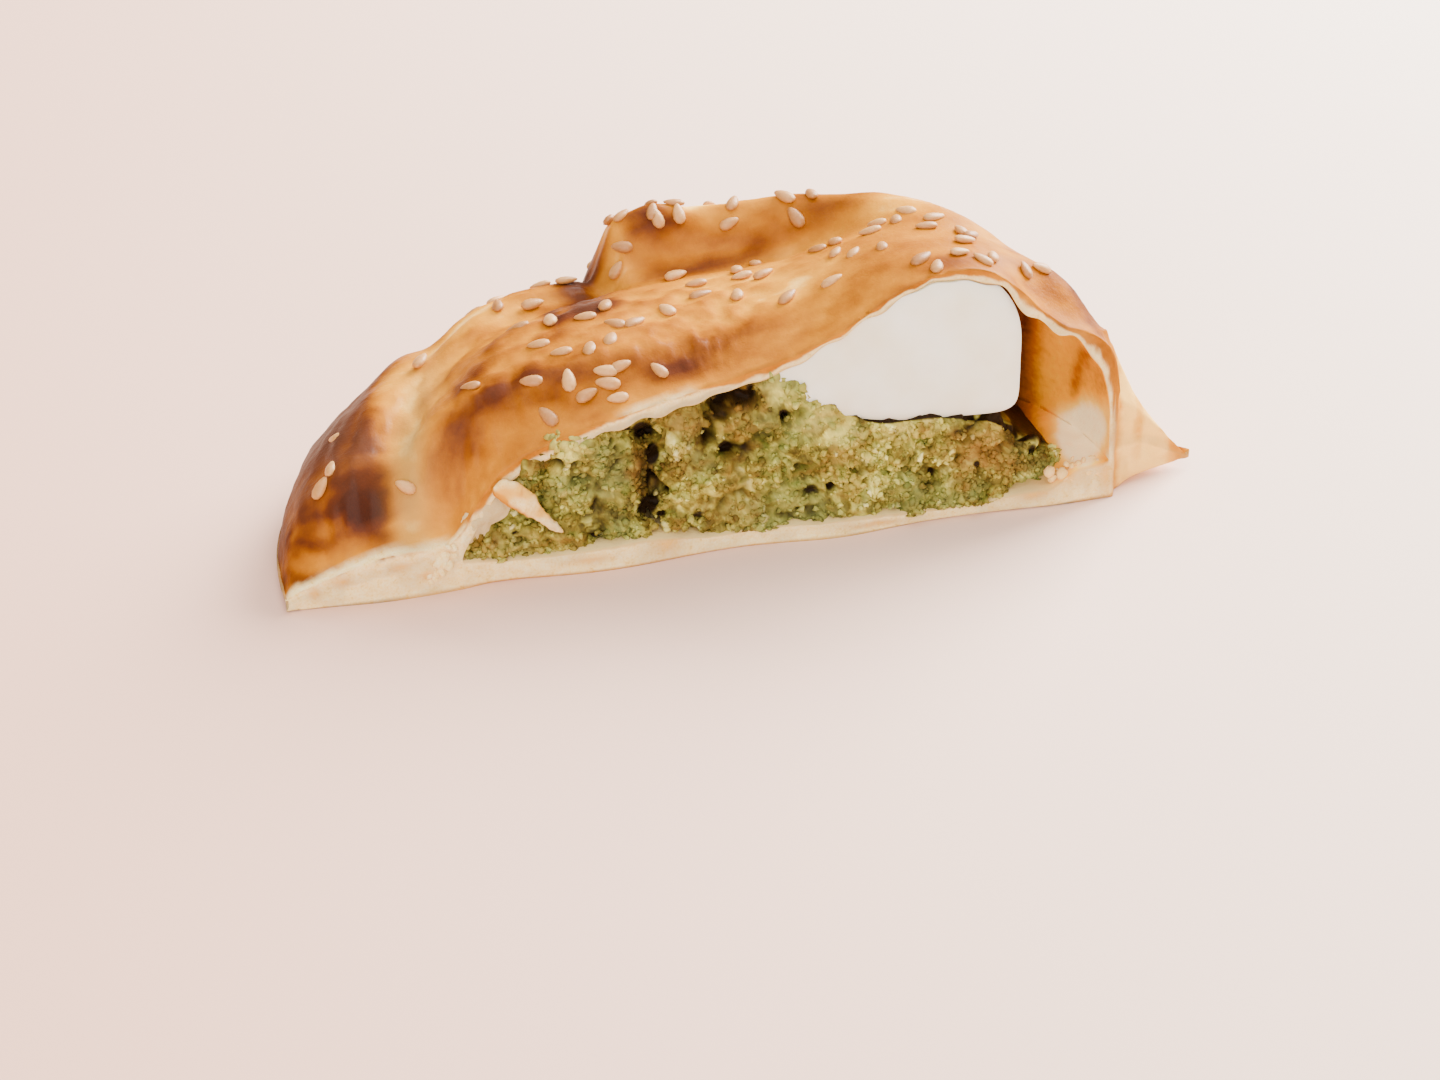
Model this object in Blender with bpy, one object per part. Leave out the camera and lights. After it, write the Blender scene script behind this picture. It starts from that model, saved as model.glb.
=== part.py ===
"""Half of a falafel pie, cut open and resting on its flat base.

A baked crust with sesame seeds is hollowed by a pocket that opens at the cut, and holds
two pieces of falafel and a wedge of boiled egg. Lengths are in metres and +Z is up. The
cut lies in the XZ plane, X runs along it and Y goes into the pie. At the end everything
is moved so that the box round the pie stands centred on the origin.
"""
import math

import bmesh
import bpy
import numpy as np
from mathutils import Matrix, Vector, noise
from mathutils.bvhtree import BVHTree

# Outline of the base, measured from the middle of the cut
LEFT = 0.0540
RIGHT = 0.0535
DEEP = 0.0470
OUTLINE_POWER = 2.35
# Pinched tip of the rim at the right
TIP_REACH = 0.0125
TIP_ANGLE = math.radians(4.0)
TIP_SPREAD = math.radians(8.0)
TIP_HEIGHT = 0.0026
TIP_SLOPE = 0.35
TIP_CURVE = 75.0
TIP_TOP = 0.0220
TIP_FRONT_SLOPE = 0.28
# Top of the crust
LOW_TOP = 0.0205
LEFT_RISE = 0.0055
RIGHT_RISE = 0.0030
EGG_SWELL = 0.0060
GROOVE_DEPTH = 0.0022
ROLL_HEIGHT = 0.0058
ROLL_END_HEIGHT = 0.0046
RIDGE_HEIGHT = 0.0034
SHOULDER_HEIGHT = 0.0021
# Top edge of the crust at the cut
END_EDGE = 0.0022
LIP_RISE = 0.0044
STEP_RISE = 0.0090
CLIMB = 0.0082
EDGE_SWELL = 0.0108
END_DROP = 0.0024
PRESSED_BAND = 0.0090
BASE_ROUNDING = 0.0016
TIP_LIFT = 0.0010
POLE_FRONT = 0.0040
# Pocket in the crust
POCKET_LEFT = 0.0320
POCKET_RIGHT = 0.0519
POCKET_DEEP = 0.0400
POCKET_POWER = 2.10
POCKET_WAIST = 0.0055
POCKET_MIDDLE = 0.0060
ROOF_THICKNESS = 0.0030
EDGE_THICKNESS = 0.0019
FLOOR_THICKNESS = 0.0016
# Filling
GAP = 0.0003
FALAFEL_DEEP = 0.0340
LEFT_MIDDLE = (-0.0205, 0.0110)
LEFT_REACH = (0.0130, 0.0128, 0.0110, 0.0150)
LEFT_POWER = 3.4
RIGHT_MIDDLE = (0.0200, 0.0090)
RIGHT_REACH = (0.0262, 0.0255, 0.0100, 0.0190)
RIGHT_POWER = 4.0
EGG_DEEP = 0.0215
FACE_DEPTH = 0.0016
CRUMB_RELIEF = 0.0012
CRUMB_SIZE = 0.0036
EGG_MIDDLE = (0.0245, 0.0233)
EGG_LEFT = 0.0172
EGG_RIGHT = 0.0152
EGG_DOWN = 0.0086
EGG_UP = 0.0125
EGG_SLANT = 0.10
# Torn tongue of dough at the left of the pocket
FLAP_TOP = (-0.0282, 0.0004, 0.0146)
FLAP_END = (-0.0196, -0.0002, 0.0066)
FLAP_WIDTH = 0.0026
FLAP_THICKNESS = 0.0011
# Sesame seeds
SEED_LENGTH = 0.0033
SEED_WIDTH = 0.0020
SEED_THICKNESS = 0.0010
SEED_SPACING = 0.0021
SEED_LIFT = 0.00018
SEED_TAPER = 0.35
SEED_MARGIN = 0.0025
SEED_STEEPEST = 0.45
# Where the seeds fell: middle and spread of each group, and how many it holds
SEED_GROUPS = (
    ((-0.014, 0.009), (0.0060, 0.0050), 22),
    ((0.004, 0.018), (0.0070, 0.0045), 9),
    ((0.025, 0.014), (0.0095, 0.0050), 28),
    ((0.000, 0.034), (0.0110, 0.0020), 9),
    ((-0.042, 0.017), (0.0050, 0.0080), 6),
    ((-0.014, 0.030), (0.0070, 0.0040), 4),
    ((0.022, 0.033), (0.0120, 0.0040), 8),
)
RANDOM_SEED = 11


def smooth(start, end, x):
    """A step from 0 at start to 1 at end, level at both ends."""
    t = np.clip((x - start) / (end - start), 0.0, 1.0)
    return t * t * (3.0 - 2.0 * t)


def bump(x, middle, width, power=2.0):
    """A bell of height 1."""
    return np.exp(-np.abs((x - middle) / width) ** power)


def superellipse(angle, left, right, deep, power):
    """Distance from the middle of the cut to a rounded outline, in the direction of angle."""
    across = np.where(np.cos(angle) < 0.0, left, right)
    return ((np.abs(np.cos(angle)) / across) ** power
            + (np.abs(np.sin(angle)) / deep) ** power) ** (-1.0 / power)


def rim(angle):
    """The outline of the crust, with the pinched tip."""
    tip = TIP_REACH * bump(angle, TIP_ANGLE, TIP_SPREAD, 1.3)
    return superellipse(angle, LEFT, RIGHT, DEEP, OUTLINE_POWER) + tip


def cut_edge(x):
    """Height of the crust's top edge at the cut.

    The edge is a low lip at the left, steps up over the pocket, climbs slowly and swells
    over the egg.
    """
    lip = END_EDGE + LIP_RISE * smooth(-0.055, -0.040, x)
    step = STEP_RISE * smooth(-0.0345, -0.0255, x)
    climb = CLIMB * (1.0 - np.exp(-np.maximum(x + 0.026, 0.0) / 0.012))
    swell = EDGE_SWELL * np.where(x < 0.030, bump(x, 0.030, 0.0171), bump(x, 0.030, 0.0122, 3.0))
    return lip + step + climb + swell - END_DROP * smooth(0.047, 0.054, x)


def plain_dome(x, y):
    """The crust's top without its folds, and how far out each point lies, from 0 to 1."""
    angle = np.arctan2(y, x)
    out = np.hypot(x, y) / superellipse(angle, LEFT, RIGHT, DEEP, OUTLINE_POWER)
    out = np.clip(out, 0.0, 1.0)
    top = (LOW_TOP + LEFT_RISE * smooth(-0.048, -0.005, x) + RIGHT_RISE * smooth(-0.005, 0.030, x)
           + EGG_SWELL * bump(x, 0.030, 0.0138) * bump(y, 0.002, 0.024))
    turn = np.degrees(angle)
    power = 4.0 + 8.0 * smooth(60.0, 10.0, turn) + 8.0 * smooth(20.0, 5.0, turn)
    return top * np.sqrt(1.0 - out ** power), out


def crust_top(x, y):
    """Height of the crust's outside over a point of its plan."""
    y = np.maximum(y, 0.0)
    angle = np.arctan2(y, x)
    turn = np.degrees(angle)
    dome, out = plain_dome(x, y)
    groove_at = 0.66 + 0.10 * smooth(150.0, 180.0, turn)
    groove = GROOVE_DEPTH * bump(out, groove_at, 0.07) * smooth(30.0, 60.0, turn)
    roll = ((ROLL_HEIGHT * smooth(10.0, 50.0, turn) + ROLL_END_HEIGHT * bump(turn, 88.0, 14.0)
             + RIDGE_HEIGHT * bump(turn, 62.0, 15.0))
            * bump(out, 0.82, 0.13) * smooth(101.5, 94.5, turn))
    roll += (SHOULDER_HEIGHT * bump(turn, 116.0, 20.0)
             * bump(out, 0.79, 0.15) * smooth(97.0, 104.0, turn))
    blunt = 24.0 + 36.0 * smooth(0.030, 0.048, x) + 70.0 * smooth(-0.044, -0.050, x)
    edge = cut_edge(x) * np.sqrt(1.0 - out ** blunt)
    z = edge + (dome - groove + roll - edge) * smooth(0.0, PRESSED_BAND, y)
    away = np.maximum(rim(angle) - np.hypot(x, y), 0.0)
    inside = np.clip(np.hypot(x, y) / rim(angle), 0.0, 1.0)
    tip = np.minimum(TIP_HEIGHT + TIP_SLOPE * away + TIP_CURVE * away ** 2, TIP_TOP)
    tip = tip * np.sqrt(1.0 - inside ** 30) * smooth(50.0, 35.0, turn) * smooth(0.60, 0.75, inside)
    return np.maximum(z, tip)


def roof(x, y):
    """Height of the pocket's ceiling before it is rounded down to its sides."""
    y = np.maximum(y, 0.0)
    thickness = (EDGE_THICKNESS - 0.0009 * bump(x, 0.020, 0.012) + 0.0020 * bump(x, 0.0408, 0.0022)
                 - 0.0004 * smooth(0.046, 0.050, x))
    at_cut = cut_edge(x) - thickness
    deeper = np.minimum(plain_dome(x, y)[0], crust_top(x, y)) - ROOF_THICKNESS
    return at_cut + (deeper - at_cut) * smooth(0.0, PRESSED_BAND, y)


def floor(x):
    """Height of the pocket's floor, which is thicker at the left and rises at the right end."""
    return (FLOOR_THICKNESS + 0.0016 * smooth(0.002, -0.010, x) + 0.0010 * smooth(0.030, 0.044, x)
            + 0.0025 * smooth(0.0435, 0.0485, x))


def ball(name, around, rings, shape):
    """A UV sphere whose points are moved to shape(angle, run), run going from pole to pole."""
    bm = bmesh.new()
    bmesh.ops.create_uvsphere(bm, u_segments=around, v_segments=rings, radius=1.0)
    co = np.array([v.co for v in bm.verts])
    run = np.arccos(np.clip(co[:, 2], -1.0, 1.0)) / math.pi
    angle = np.arctan2(co[:, 1], co[:, 0])
    for v, point in zip(bm.verts, shape(angle, run)):
        v.co = point
    bmesh.ops.triangulate(bm, faces=bm.faces)
    bmesh.ops.recalc_face_normals(bm, faces=bm.faces)
    return new_object(name, bm)


def new_object(name, bm):
    """An object in the cutters' collection, holding the finished bmesh."""
    mesh = bpy.data.meshes.new(name)
    bm.to_mesh(mesh)
    bm.free()
    obj = bpy.data.objects.new(name, mesh)
    cutters.objects.link(obj)
    obj.hide_render = True
    obj.display_type = "WIRE"
    return obj


def keep(obj, colour, roughness):
    """Moves an object into the pie's collection and gives it a material of its own."""
    cutters.objects.unlink(obj)
    pie.objects.link(obj)
    obj.hide_render = False
    obj.display_type = "TEXTURED"
    material = bpy.data.materials.new(obj.name)
    material.use_nodes = True
    shader = material.node_tree.nodes["Principled BSDF"]
    shader.inputs["Base Color"].default_value = (*colour, 1.0)
    shader.inputs["Roughness"].default_value = roughness
    shader.inputs["Metallic"].default_value = 0.0
    obj.data.materials.clear()
    obj.data.materials.append(material)


def combine(obj, other, operation, solver="EXACT"):
    """Applies a Boolean of other to obj; other may be an object or a collection."""
    mod = obj.modifiers.new(operation.title(), "BOOLEAN")
    mod.operation = operation
    mod.solver = solver
    if isinstance(other, bpy.types.Collection):
        mod.operand_type = "COLLECTION"
        mod.collection = other
    else:
        mod.object = other
    made = bpy.data.meshes.new_from_object(obj.evaluated_get(bpy.context.evaluated_depsgraph_get()))
    obj.modifiers.clear()
    obj.data = made


def largest_piece(obj):
    """Keeps the largest connected piece of an object and splits its faces into triangles."""
    bm = bmesh.new()
    bm.from_mesh(obj.data)
    left = set(bm.verts)
    pieces = []
    while left:
        front = [left.pop()]
        piece = set(front)
        while front:
            for edge in front.pop().link_edges:
                for v in edge.verts:
                    if v in left:
                        left.remove(v)
                        piece.add(v)
                        front.append(v)
        pieces.append(piece)
    best = max(pieces, key=len)
    bmesh.ops.delete(bm, geom=[v for v in bm.verts if v not in best], context="VERTS")
    bmesh.ops.triangulate(bm, faces=bm.faces)
    bm.to_mesh(obj.data)
    bm.free()


def flatten_base(obj):
    """Joins the faces that lie in the flat base into one."""
    bm = bmesh.new()
    bm.from_mesh(obj.data)
    base = [v for v in bm.verts if abs(v.co.z) < 0.000002]
    bmesh.ops.dissolve_limit(bm, angle_limit=math.radians(0.05), verts=base,
                             edges=[e for e in bm.edges if e.verts[0] in base and e.verts[1] in base])
    bm.to_mesh(obj.data)
    bm.free()


def offset_copy(obj, name, distance):
    """A copy whose surface stands off by distance, outward when it is positive."""
    bm = bmesh.new()
    bm.from_mesh(obj.data)
    bmesh.ops.triangulate(bm, faces=bm.faces)
    bm.normal_update()
    for v, step in [(v, v.normal * (distance * v.calc_shell_factor())) for v in bm.verts]:
        v.co += step
    return new_object(name, bm)


def crowd_behind(angle):
    """Turns evenly spaced angles so that five in six lie behind the cut, from 0 to 180 degrees."""
    whole = np.mod(angle, 2.0 * math.pi)
    return np.where(whole < 5.0 / 3.0 * math.pi, 0.6 * whole, 3.0 * whole - 4.0 * math.pi)


def crust_shape(angle, run):
    """The crust's outside: three quarters of the rings go over the top, the rest under it."""
    over = run < 0.75 + 1e-6
    spread = np.where(over, run / 0.75, (1.0 - run) / 0.25)
    spread = 1.0 - (1.0 - np.clip(spread, 0.0, 1.0)) ** 1.7
    angle = crowd_behind(angle)
    front = superellipse(angle, LEFT, RIGHT, 0.010, OUTLINE_POWER)
    reach = np.where(np.sin(angle) < -1e-6, front, rim(np.minimum(angle, math.pi)))
    x = spread * reach * np.cos(angle)
    y = spread * reach * np.sin(angle) - POLE_FRONT * (1.0 - spread)
    lift = TIP_LIFT * smooth(0.0528, 0.0565, x)
    rounding = BASE_ROUNDING * smooth(0.96, 1.0, spread) * (1.0 - 0.5 * lift / BASE_ROUNDING) + lift
    top = np.maximum(crust_top(x, y), rounding)
    return np.stack([x, y, np.where(over, top, rounding)], axis=1)


def pocket_shape(angle, run):
    """The pocket: a rounded hollow between the roof and the floor."""
    over = run < 0.6 + 1e-6
    spread = np.where(over, run / 0.6, (1.0 - run) / 0.4)
    spread = 1.0 - (1.0 - np.clip(spread, 0.0, 1.0)) ** 1.7
    angle = crowd_behind(angle)
    back = superellipse(angle, POCKET_LEFT, POCKET_RIGHT, POCKET_DEEP, POCKET_POWER)
    front = superellipse(angle, POCKET_LEFT, POCKET_RIGHT, 0.012, POCKET_POWER)
    reach = np.where(np.sin(angle) < -1e-6, front, back)
    x = spread * reach * np.cos(angle) + POCKET_MIDDLE * (1.0 - spread)
    y = spread * reach * np.sin(angle) - POLE_FRONT * (1.0 - spread)
    out_angle = np.arctan2(np.maximum(y, 0.0), x)
    out = np.hypot(x, np.maximum(y, 0.0)) / superellipse(out_angle, POCKET_LEFT, POCKET_RIGHT,
                                                         POCKET_DEEP, POCKET_POWER)
    turn = np.degrees(out_angle)
    power = (10.0 - 5.0 * smooth(10.0, 60.0, turn) * smooth(170.0, 120.0, turn)
             + 18.0 * smooth(22.0, 4.0, turn))
    side = np.sqrt(1.0 - np.clip(out, 0.0, 1.0) ** power)
    end = np.where(over, roof(x, y), floor(x))
    return np.stack([x, y, POCKET_WAIST + (end - POCKET_WAIST) * side], axis=1)


def crumbs(points, size):
    """Uneven relief of broken crumb, from -1 to 1, over points."""
    return np.array([noise.noise(Vector(p) / size) + 0.5 * noise.noise(Vector(p) / (0.45 * size))
                     for p in points])


def lump(middle, reach, power, front, deep, top=None):
    """A shape for ball(): a lump with a flat, crumbly cut face towards -Y.

    reach gives its half size to the left, to the right, down and up, front is the depth of
    the cut face over x and z, and top an upper bound of its height over x.
    """
    left, right, down, up = reach
    flat = 2.0 / 3.0

    def shape(angle, run):
        on_face = run < flat + 1e-6
        spread = np.where(on_face, run / flat, (1.0 - run) / (1.0 - flat))
        back = np.where(on_face, 0.0, np.cos(0.5 * math.pi * np.minimum(spread, 1.0)) ** 0.9)
        across = np.where(np.cos(angle) < 0.0, left, right)
        tall = np.where(np.sin(angle) < 0.0, down, up)
        edge = ((np.abs(np.cos(angle)) / across) ** power
                + (np.abs(np.sin(angle)) / tall) ** power) ** (-1.0 / power)
        spread = np.where(on_face, spread, np.sin(0.5 * math.pi * spread) ** 0.7)
        x = middle[0] + spread * edge * np.cos(angle)
        z = middle[1] + spread * edge * np.sin(angle)
        if top is not None:
            z = np.where(z > middle[1], middle[1] + (z - middle[1]) * top(x), z)
        y = front(x, z)
        y = np.where(on_face, y, y + (deep - y) * back)
        points = np.stack([x, y, z], axis=1)
        points[:, 1] += CRUMB_RELIEF * crumbs(points, CRUMB_SIZE) * on_face
        return points

    return shape


def left_front(x, z):
    """The left falafel's cut face lies deeper behind the torn dough."""
    behind_flap = smooth(-0.0185, -0.0215, x) * smooth(0.0160, 0.0130, z)
    return FACE_DEPTH + 0.0026 * behind_flap - 0.0012 * bump(x, -0.018, 0.006) * bump(z, 0.018, 0.004)


def right_front(x, z):
    """The right falafel's cut face, further back at its low right end."""
    low_end = 0.0022 * smooth(0.036, 0.046, x)
    hollow = 0.0010 * bump(x, 0.002, 0.004) * bump(z, 0.018, 0.005)
    return FACE_DEPTH + low_end + hollow


def right_top(x):
    """How much of its height the right falafel keeps: less below the egg, little at its end."""
    return 1.0 - 0.62 * smooth(0.008, 0.030, x) - 0.30 * smooth(0.034, 0.046, x)


def egg_shape(angle, run):
    """The egg: level below, pointed at the left, blunt at the right, smooth at the cut."""
    flat = 0.5
    on_face = run < flat + 1e-6
    spread = np.where(on_face, run / flat, (1.0 - run) / (1.0 - flat))
    back = np.where(on_face, 0.0, np.cos(0.5 * math.pi * np.minimum(spread, 1.0)) ** 0.9)
    spread = np.where(on_face, spread, np.sin(0.5 * math.pi * spread) ** 0.75)
    right = np.cos(angle) > 0.0
    low = np.sin(angle) < 0.0
    power = np.where(right, np.where(low, 9.0, 2.2), 2.0)
    edge = ((np.abs(np.cos(angle)) / np.where(right, EGG_RIGHT, EGG_LEFT)) ** power
            + (np.abs(np.sin(angle)) / np.where(low, EGG_DOWN, EGG_UP)) ** power) ** (-1.0 / power)
    x = EGG_MIDDLE[0] + spread * edge * np.cos(angle)
    lift = EGG_SLANT * np.maximum(EGG_MIDDLE[0] - x, 0.0)
    z = EGG_MIDDLE[1] + lift + spread * edge * np.sin(angle)
    y = 0.0004 - 0.0006 * (1.0 - spread ** 2) * on_face
    return np.stack([x, y + (EGG_DEEP - y) * back, z], axis=1)


def knife(name, depth_at, columns, rows):
    """A block in front of the pie whose back face follows depth_at(x, z)."""
    bm = bmesh.new()
    bmesh.ops.create_grid(bm, x_segments=columns, y_segments=rows, size=1.0)
    for v in bm.verts:
        x = 0.0700 * v.co.x
        z = 0.0200 + 0.0260 * v.co.y
        v.co = (x, float(depth_at(np.float64(x), np.float64(z))), z)
    walls = bmesh.ops.extrude_face_region(bm, geom=list(bm.faces))
    for v in walls["geom"]:
        if isinstance(v, bmesh.types.BMVert):
            v.co.y = -0.0400
    bmesh.ops.recalc_face_normals(bm, faces=bm.faces)
    return new_object(name, bm)


def crust_cut(x, z):
    """The cut through the crust: slightly wavy, and slanting back along the pinched tip."""
    wave = 0.00035 * np.sin(x / 0.0047 + 1.0) + 0.00025 * np.sin(z / 0.0031 + x / 0.0090)
    return wave + TIP_FRONT_SLOPE * np.maximum(x - 0.0530, 0.0)


def flap():
    """The torn tongue of dough that hangs from the crust's edge in front of the filling."""
    bm = bmesh.new()
    bmesh.ops.create_cube(bm, size=1.0)
    upright = [e for e in bm.edges if abs(e.verts[0].co.z - e.verts[1].co.z) > 0.5]
    bmesh.ops.subdivide_edges(bm, edges=upright, cuts=6, use_grid_fill=True)
    top, end = np.array(FLAP_TOP), np.array(FLAP_END)
    down = (end - top) / np.linalg.norm(end - top)
    side = np.array([down[2], 0.0, -down[0]])
    for v in bm.verts:
        run = 0.5 - v.co.z
        width = FLAP_WIDTH * (1.0 - 0.72 * run ** 2)
        middle = top + (end - top) * run + side * (0.0006 * math.sin(5.0 * run))
        middle[1] -= 0.0006 * math.sin(math.pi * run)
        point = middle + side * (v.co.x * width)
        v.co = (point[0], point[1] + FLAP_THICKNESS * v.co.y * (1.0 - 0.45 * run), point[2])
    bmesh.ops.recalc_face_normals(bm, faces=bm.faces)
    return new_object("flap", bm)


def scatter(crust):
    """Sesame seeds laid on the crust in their groups, each turned at random."""
    dice = np.random.default_rng(RANDOM_SEED)
    tree = BVHTree.FromObject(crust, bpy.context.evaluated_depsgraph_get())
    placed = []
    for middle, spread, count in SEED_GROUPS:
        laid = 0
        for x, y in dice.normal(middle, spread, size=(12 * count, 2)):
            if laid == count:
                break
            turn, size = dice.uniform(0.0, math.pi), dice.uniform(0.90, 1.08)
            hit, normal, _, _ = tree.ray_cast(Vector((x, y, 0.06)), Vector((0.0, 0.0, -1.0)))
            if hit is None or normal.z < SEED_STEEPEST or y < SEED_MARGIN:
                continue
            if any((hit - other).length < SEED_SPACING for other in placed):
                continue
            placed.append(hit)
            laid += 1
            bm = bmesh.new()
            bmesh.ops.create_uvsphere(bm, u_segments=6, v_segments=3, radius=0.5)
            for v in bm.verts:
                taper = 1.0 - SEED_TAPER * v.co.x
                v.co = (v.co.x * SEED_LENGTH * size, v.co.y * SEED_WIDTH * size * taper,
                        v.co.z * SEED_THICKNESS * size)
            lie = (Matrix.Translation(hit + normal * SEED_LIFT)
                   @ normal.to_track_quat("Z", "Y").to_matrix().to_4x4() @ Matrix.Rotation(turn, 4, "Z"))
            bmesh.ops.transform(bm, matrix=lie, verts=bm.verts)
            seed = new_object("seed", bm)
            cutters.objects.unlink(seed)
            seeds.objects.link(seed)


for old in list(bpy.data.objects):
    bpy.data.objects.remove(old)
pie = bpy.data.collections.new("falafel_pie")
cutters = bpy.data.collections.new("cutters")
seeds = bpy.data.collections.new("seeds")
for group in (pie, cutters, seeds):
    bpy.context.scene.collection.children.link(group)

crust = ball("pastry_crust", 72, 24, crust_shape)
flatten_base(crust)
combine(crust, knife("crust_knife", crust_cut, 48, 10), "DIFFERENCE")
pocket = ball("pocket", 48, 20, pocket_shape)
combine(crust, pocket, "DIFFERENCE")
combine(crust, flap(), "UNION")

space = offset_copy(pocket, "filling_space", -GAP)
egg = ball("egg_piece", 28, 14, egg_shape)
left_lump = lump(LEFT_MIDDLE, LEFT_REACH, LEFT_POWER, left_front, FALAFEL_DEEP)
falafel_left = ball("falafel_left", 26, 18, left_lump)
right_lump = lump(RIGHT_MIDDLE, RIGHT_REACH, RIGHT_POWER, right_front, FALAFEL_DEEP, right_top)
falafel_right = ball("falafel_right", 40, 18, right_lump)
for piece in (egg, falafel_left, falafel_right):
    combine(piece, space, "INTERSECT")
combine(falafel_right, offset_copy(egg, "egg_clearance", GAP), "DIFFERENCE")

scatter(crust)
combine(crust, seeds, "UNION", "MANIFOLD")
for seed in list(seeds.objects):
    bpy.data.objects.remove(seed)
bpy.data.collections.remove(seeds)

keep(crust, (0.56, 0.29, 0.09), 0.45)
keep(falafel_left, (0.30, 0.27, 0.06), 0.85)
keep(falafel_right, (0.31, 0.27, 0.07), 0.85)
keep(egg, (0.83, 0.82, 0.77), 0.30)
corners = np.array([v.co for obj in pie.objects for v in obj.data.vertices])
low, high = corners.min(axis=0), corners.max(axis=0)
for obj in pie.objects:
    largest_piece(obj)
    obj.data.transform(Matrix.Translation((-(low[0] + high[0]) / 2, -(low[1] + high[1]) / 2, -low[2])))
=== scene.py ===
"""Half of a falafel pie, dressed for a photograph.

Lengths are in metres, and in millimetres in the lists of spots. Each piece is worked out on the
cut of the pie, with X along the cut, Y into the pie and Z up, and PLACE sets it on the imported
model.
"""
import math

import bmesh
import bpy
import numpy as np
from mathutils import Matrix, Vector


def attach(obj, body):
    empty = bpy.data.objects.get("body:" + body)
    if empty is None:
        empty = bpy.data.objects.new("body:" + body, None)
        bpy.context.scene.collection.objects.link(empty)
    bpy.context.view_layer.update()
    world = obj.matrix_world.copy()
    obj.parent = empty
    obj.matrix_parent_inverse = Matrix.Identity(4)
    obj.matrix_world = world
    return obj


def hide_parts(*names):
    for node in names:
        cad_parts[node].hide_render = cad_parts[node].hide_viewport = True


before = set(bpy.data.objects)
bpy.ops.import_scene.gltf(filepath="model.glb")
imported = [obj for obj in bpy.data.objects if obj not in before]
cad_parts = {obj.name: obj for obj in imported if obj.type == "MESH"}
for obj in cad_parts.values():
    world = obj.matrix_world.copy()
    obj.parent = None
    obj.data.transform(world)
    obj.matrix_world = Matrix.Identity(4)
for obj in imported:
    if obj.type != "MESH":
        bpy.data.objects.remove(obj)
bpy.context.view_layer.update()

# The crust
# A baked shell of enriched bread dough, folded over the filling by hand, pinched to a tip at
# the right and cut across with a knife. One closed surface: the browned outside with a few painted
# highlights, the pale crumb at the cut, and the steamed inside of the pocket, amber at its right end
# with painted shade and a painted glow of light through the thin dough.

MM = 0.001
PLACE = np.array((-0.0055059, -0.0230318, 0.0))
LEFT = 0.0540
RIGHT = 0.0535
DEEP = 0.0470
OUTLINE_POWER = 2.35
TIP_REACH = 0.0125
TIP_ANGLE = math.radians(4.0)
TIP_SPREAD = math.radians(8.0)
TIP_HEIGHT = 0.0026
TIP_SLOPE = 0.35
TIP_CURVE = 75.0
TIP_TOP = 0.0220
TIP_FRONT_START = 0.0536
TIP_FRONT_SLOPE = 0.28
TIP_LIFT = 0.0010
BASE_ROUNDING = 0.0016
LIP_RUN = 0.0090
SHELL = 0.0030
POCKET_LEFT = 0.0320
POCKET_RIGHT = 0.0519
POCKET_DEEP = 0.0400
POCKET_POWER = 2.10
POCKET_WAIST = 0.0055


def smooth(start, end, x):
    """A step from 0 at start to 1 at end, level at both ends: t * t * (3 - 2 * t)."""
    t = np.clip((x - start) / (end - start), 0.0, 1.0)
    return t * t * (3.0 - 2.0 * t)


def bump(x, middle, width, power=2.0):
    """A bell of height 1: e to the power of minus |distance over width| ** power."""
    return np.exp(-np.abs((x - middle) / width) ** power)


def no_less(value, least, soft):
    """A soft maximum: half of value + least + the root of their difference squared + soft squared."""
    return 0.5 * (value + least + np.sqrt((value - least) ** 2 + soft ** 2))


def superellipse(angle, left, right, deep, power):
    """Distance from the middle of the cut to a rounded outline, in the direction of angle."""
    across = np.where(np.cos(angle) < 0.0, left, right)
    return ((np.abs(np.cos(angle)) / across) ** power
            + (np.abs(np.sin(angle)) / deep) ** power) ** (-1.0 / power)


def rim(angle):
    """The outline of the crust: a superellipse, with a bell added for the pinched tip."""
    tip = TIP_REACH * bump(angle, TIP_ANGLE, TIP_SPREAD, 1.3)
    return superellipse(angle, LEFT, RIGHT, DEEP, OUTLINE_POWER) + tip


def cut_edge(x):
    """Height of the crust's top edge at the cut: low lip, step, slow climb, swell over the egg."""
    lip = 0.0022 + 0.0044 * smooth(-0.055, -0.040, x)
    step = 0.0090 * smooth(-0.0345, -0.0255, x)
    climb = 0.0082 * (1.0 - np.exp(-np.maximum(x + 0.026, 0.0) / 0.012))
    swell = 0.0108 * np.where(x < 0.030, bump(x, 0.030, 0.0171), bump(x, 0.030, 0.0122, 3.0))
    return lip + step + climb + swell - 0.0024 * smooth(0.047, 0.054, x)


def plain_dome(x, y):
    """The top without its folds, height times the root of 1 - out ** power, and out itself."""
    angle = np.arctan2(y, x)
    turn = np.degrees(angle)
    out = np.hypot(x, y) / superellipse(angle, LEFT, RIGHT, DEEP, OUTLINE_POWER)
    out = np.clip(out, 0.0, 1.0)
    top = (0.0205 + 0.0055 * smooth(-0.048, -0.005, x) + 0.0030 * smooth(-0.005, 0.030, x)
           + 0.0060 * bump(x, 0.030, 0.0138) * bump(y, 0.002, 0.024))
    power = 4.0 + 8.0 * smooth(60.0, 10.0, turn) + 8.0 * smooth(20.0, 5.0, turn)
    return top * np.sqrt(1.0 - out ** power), out


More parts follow.
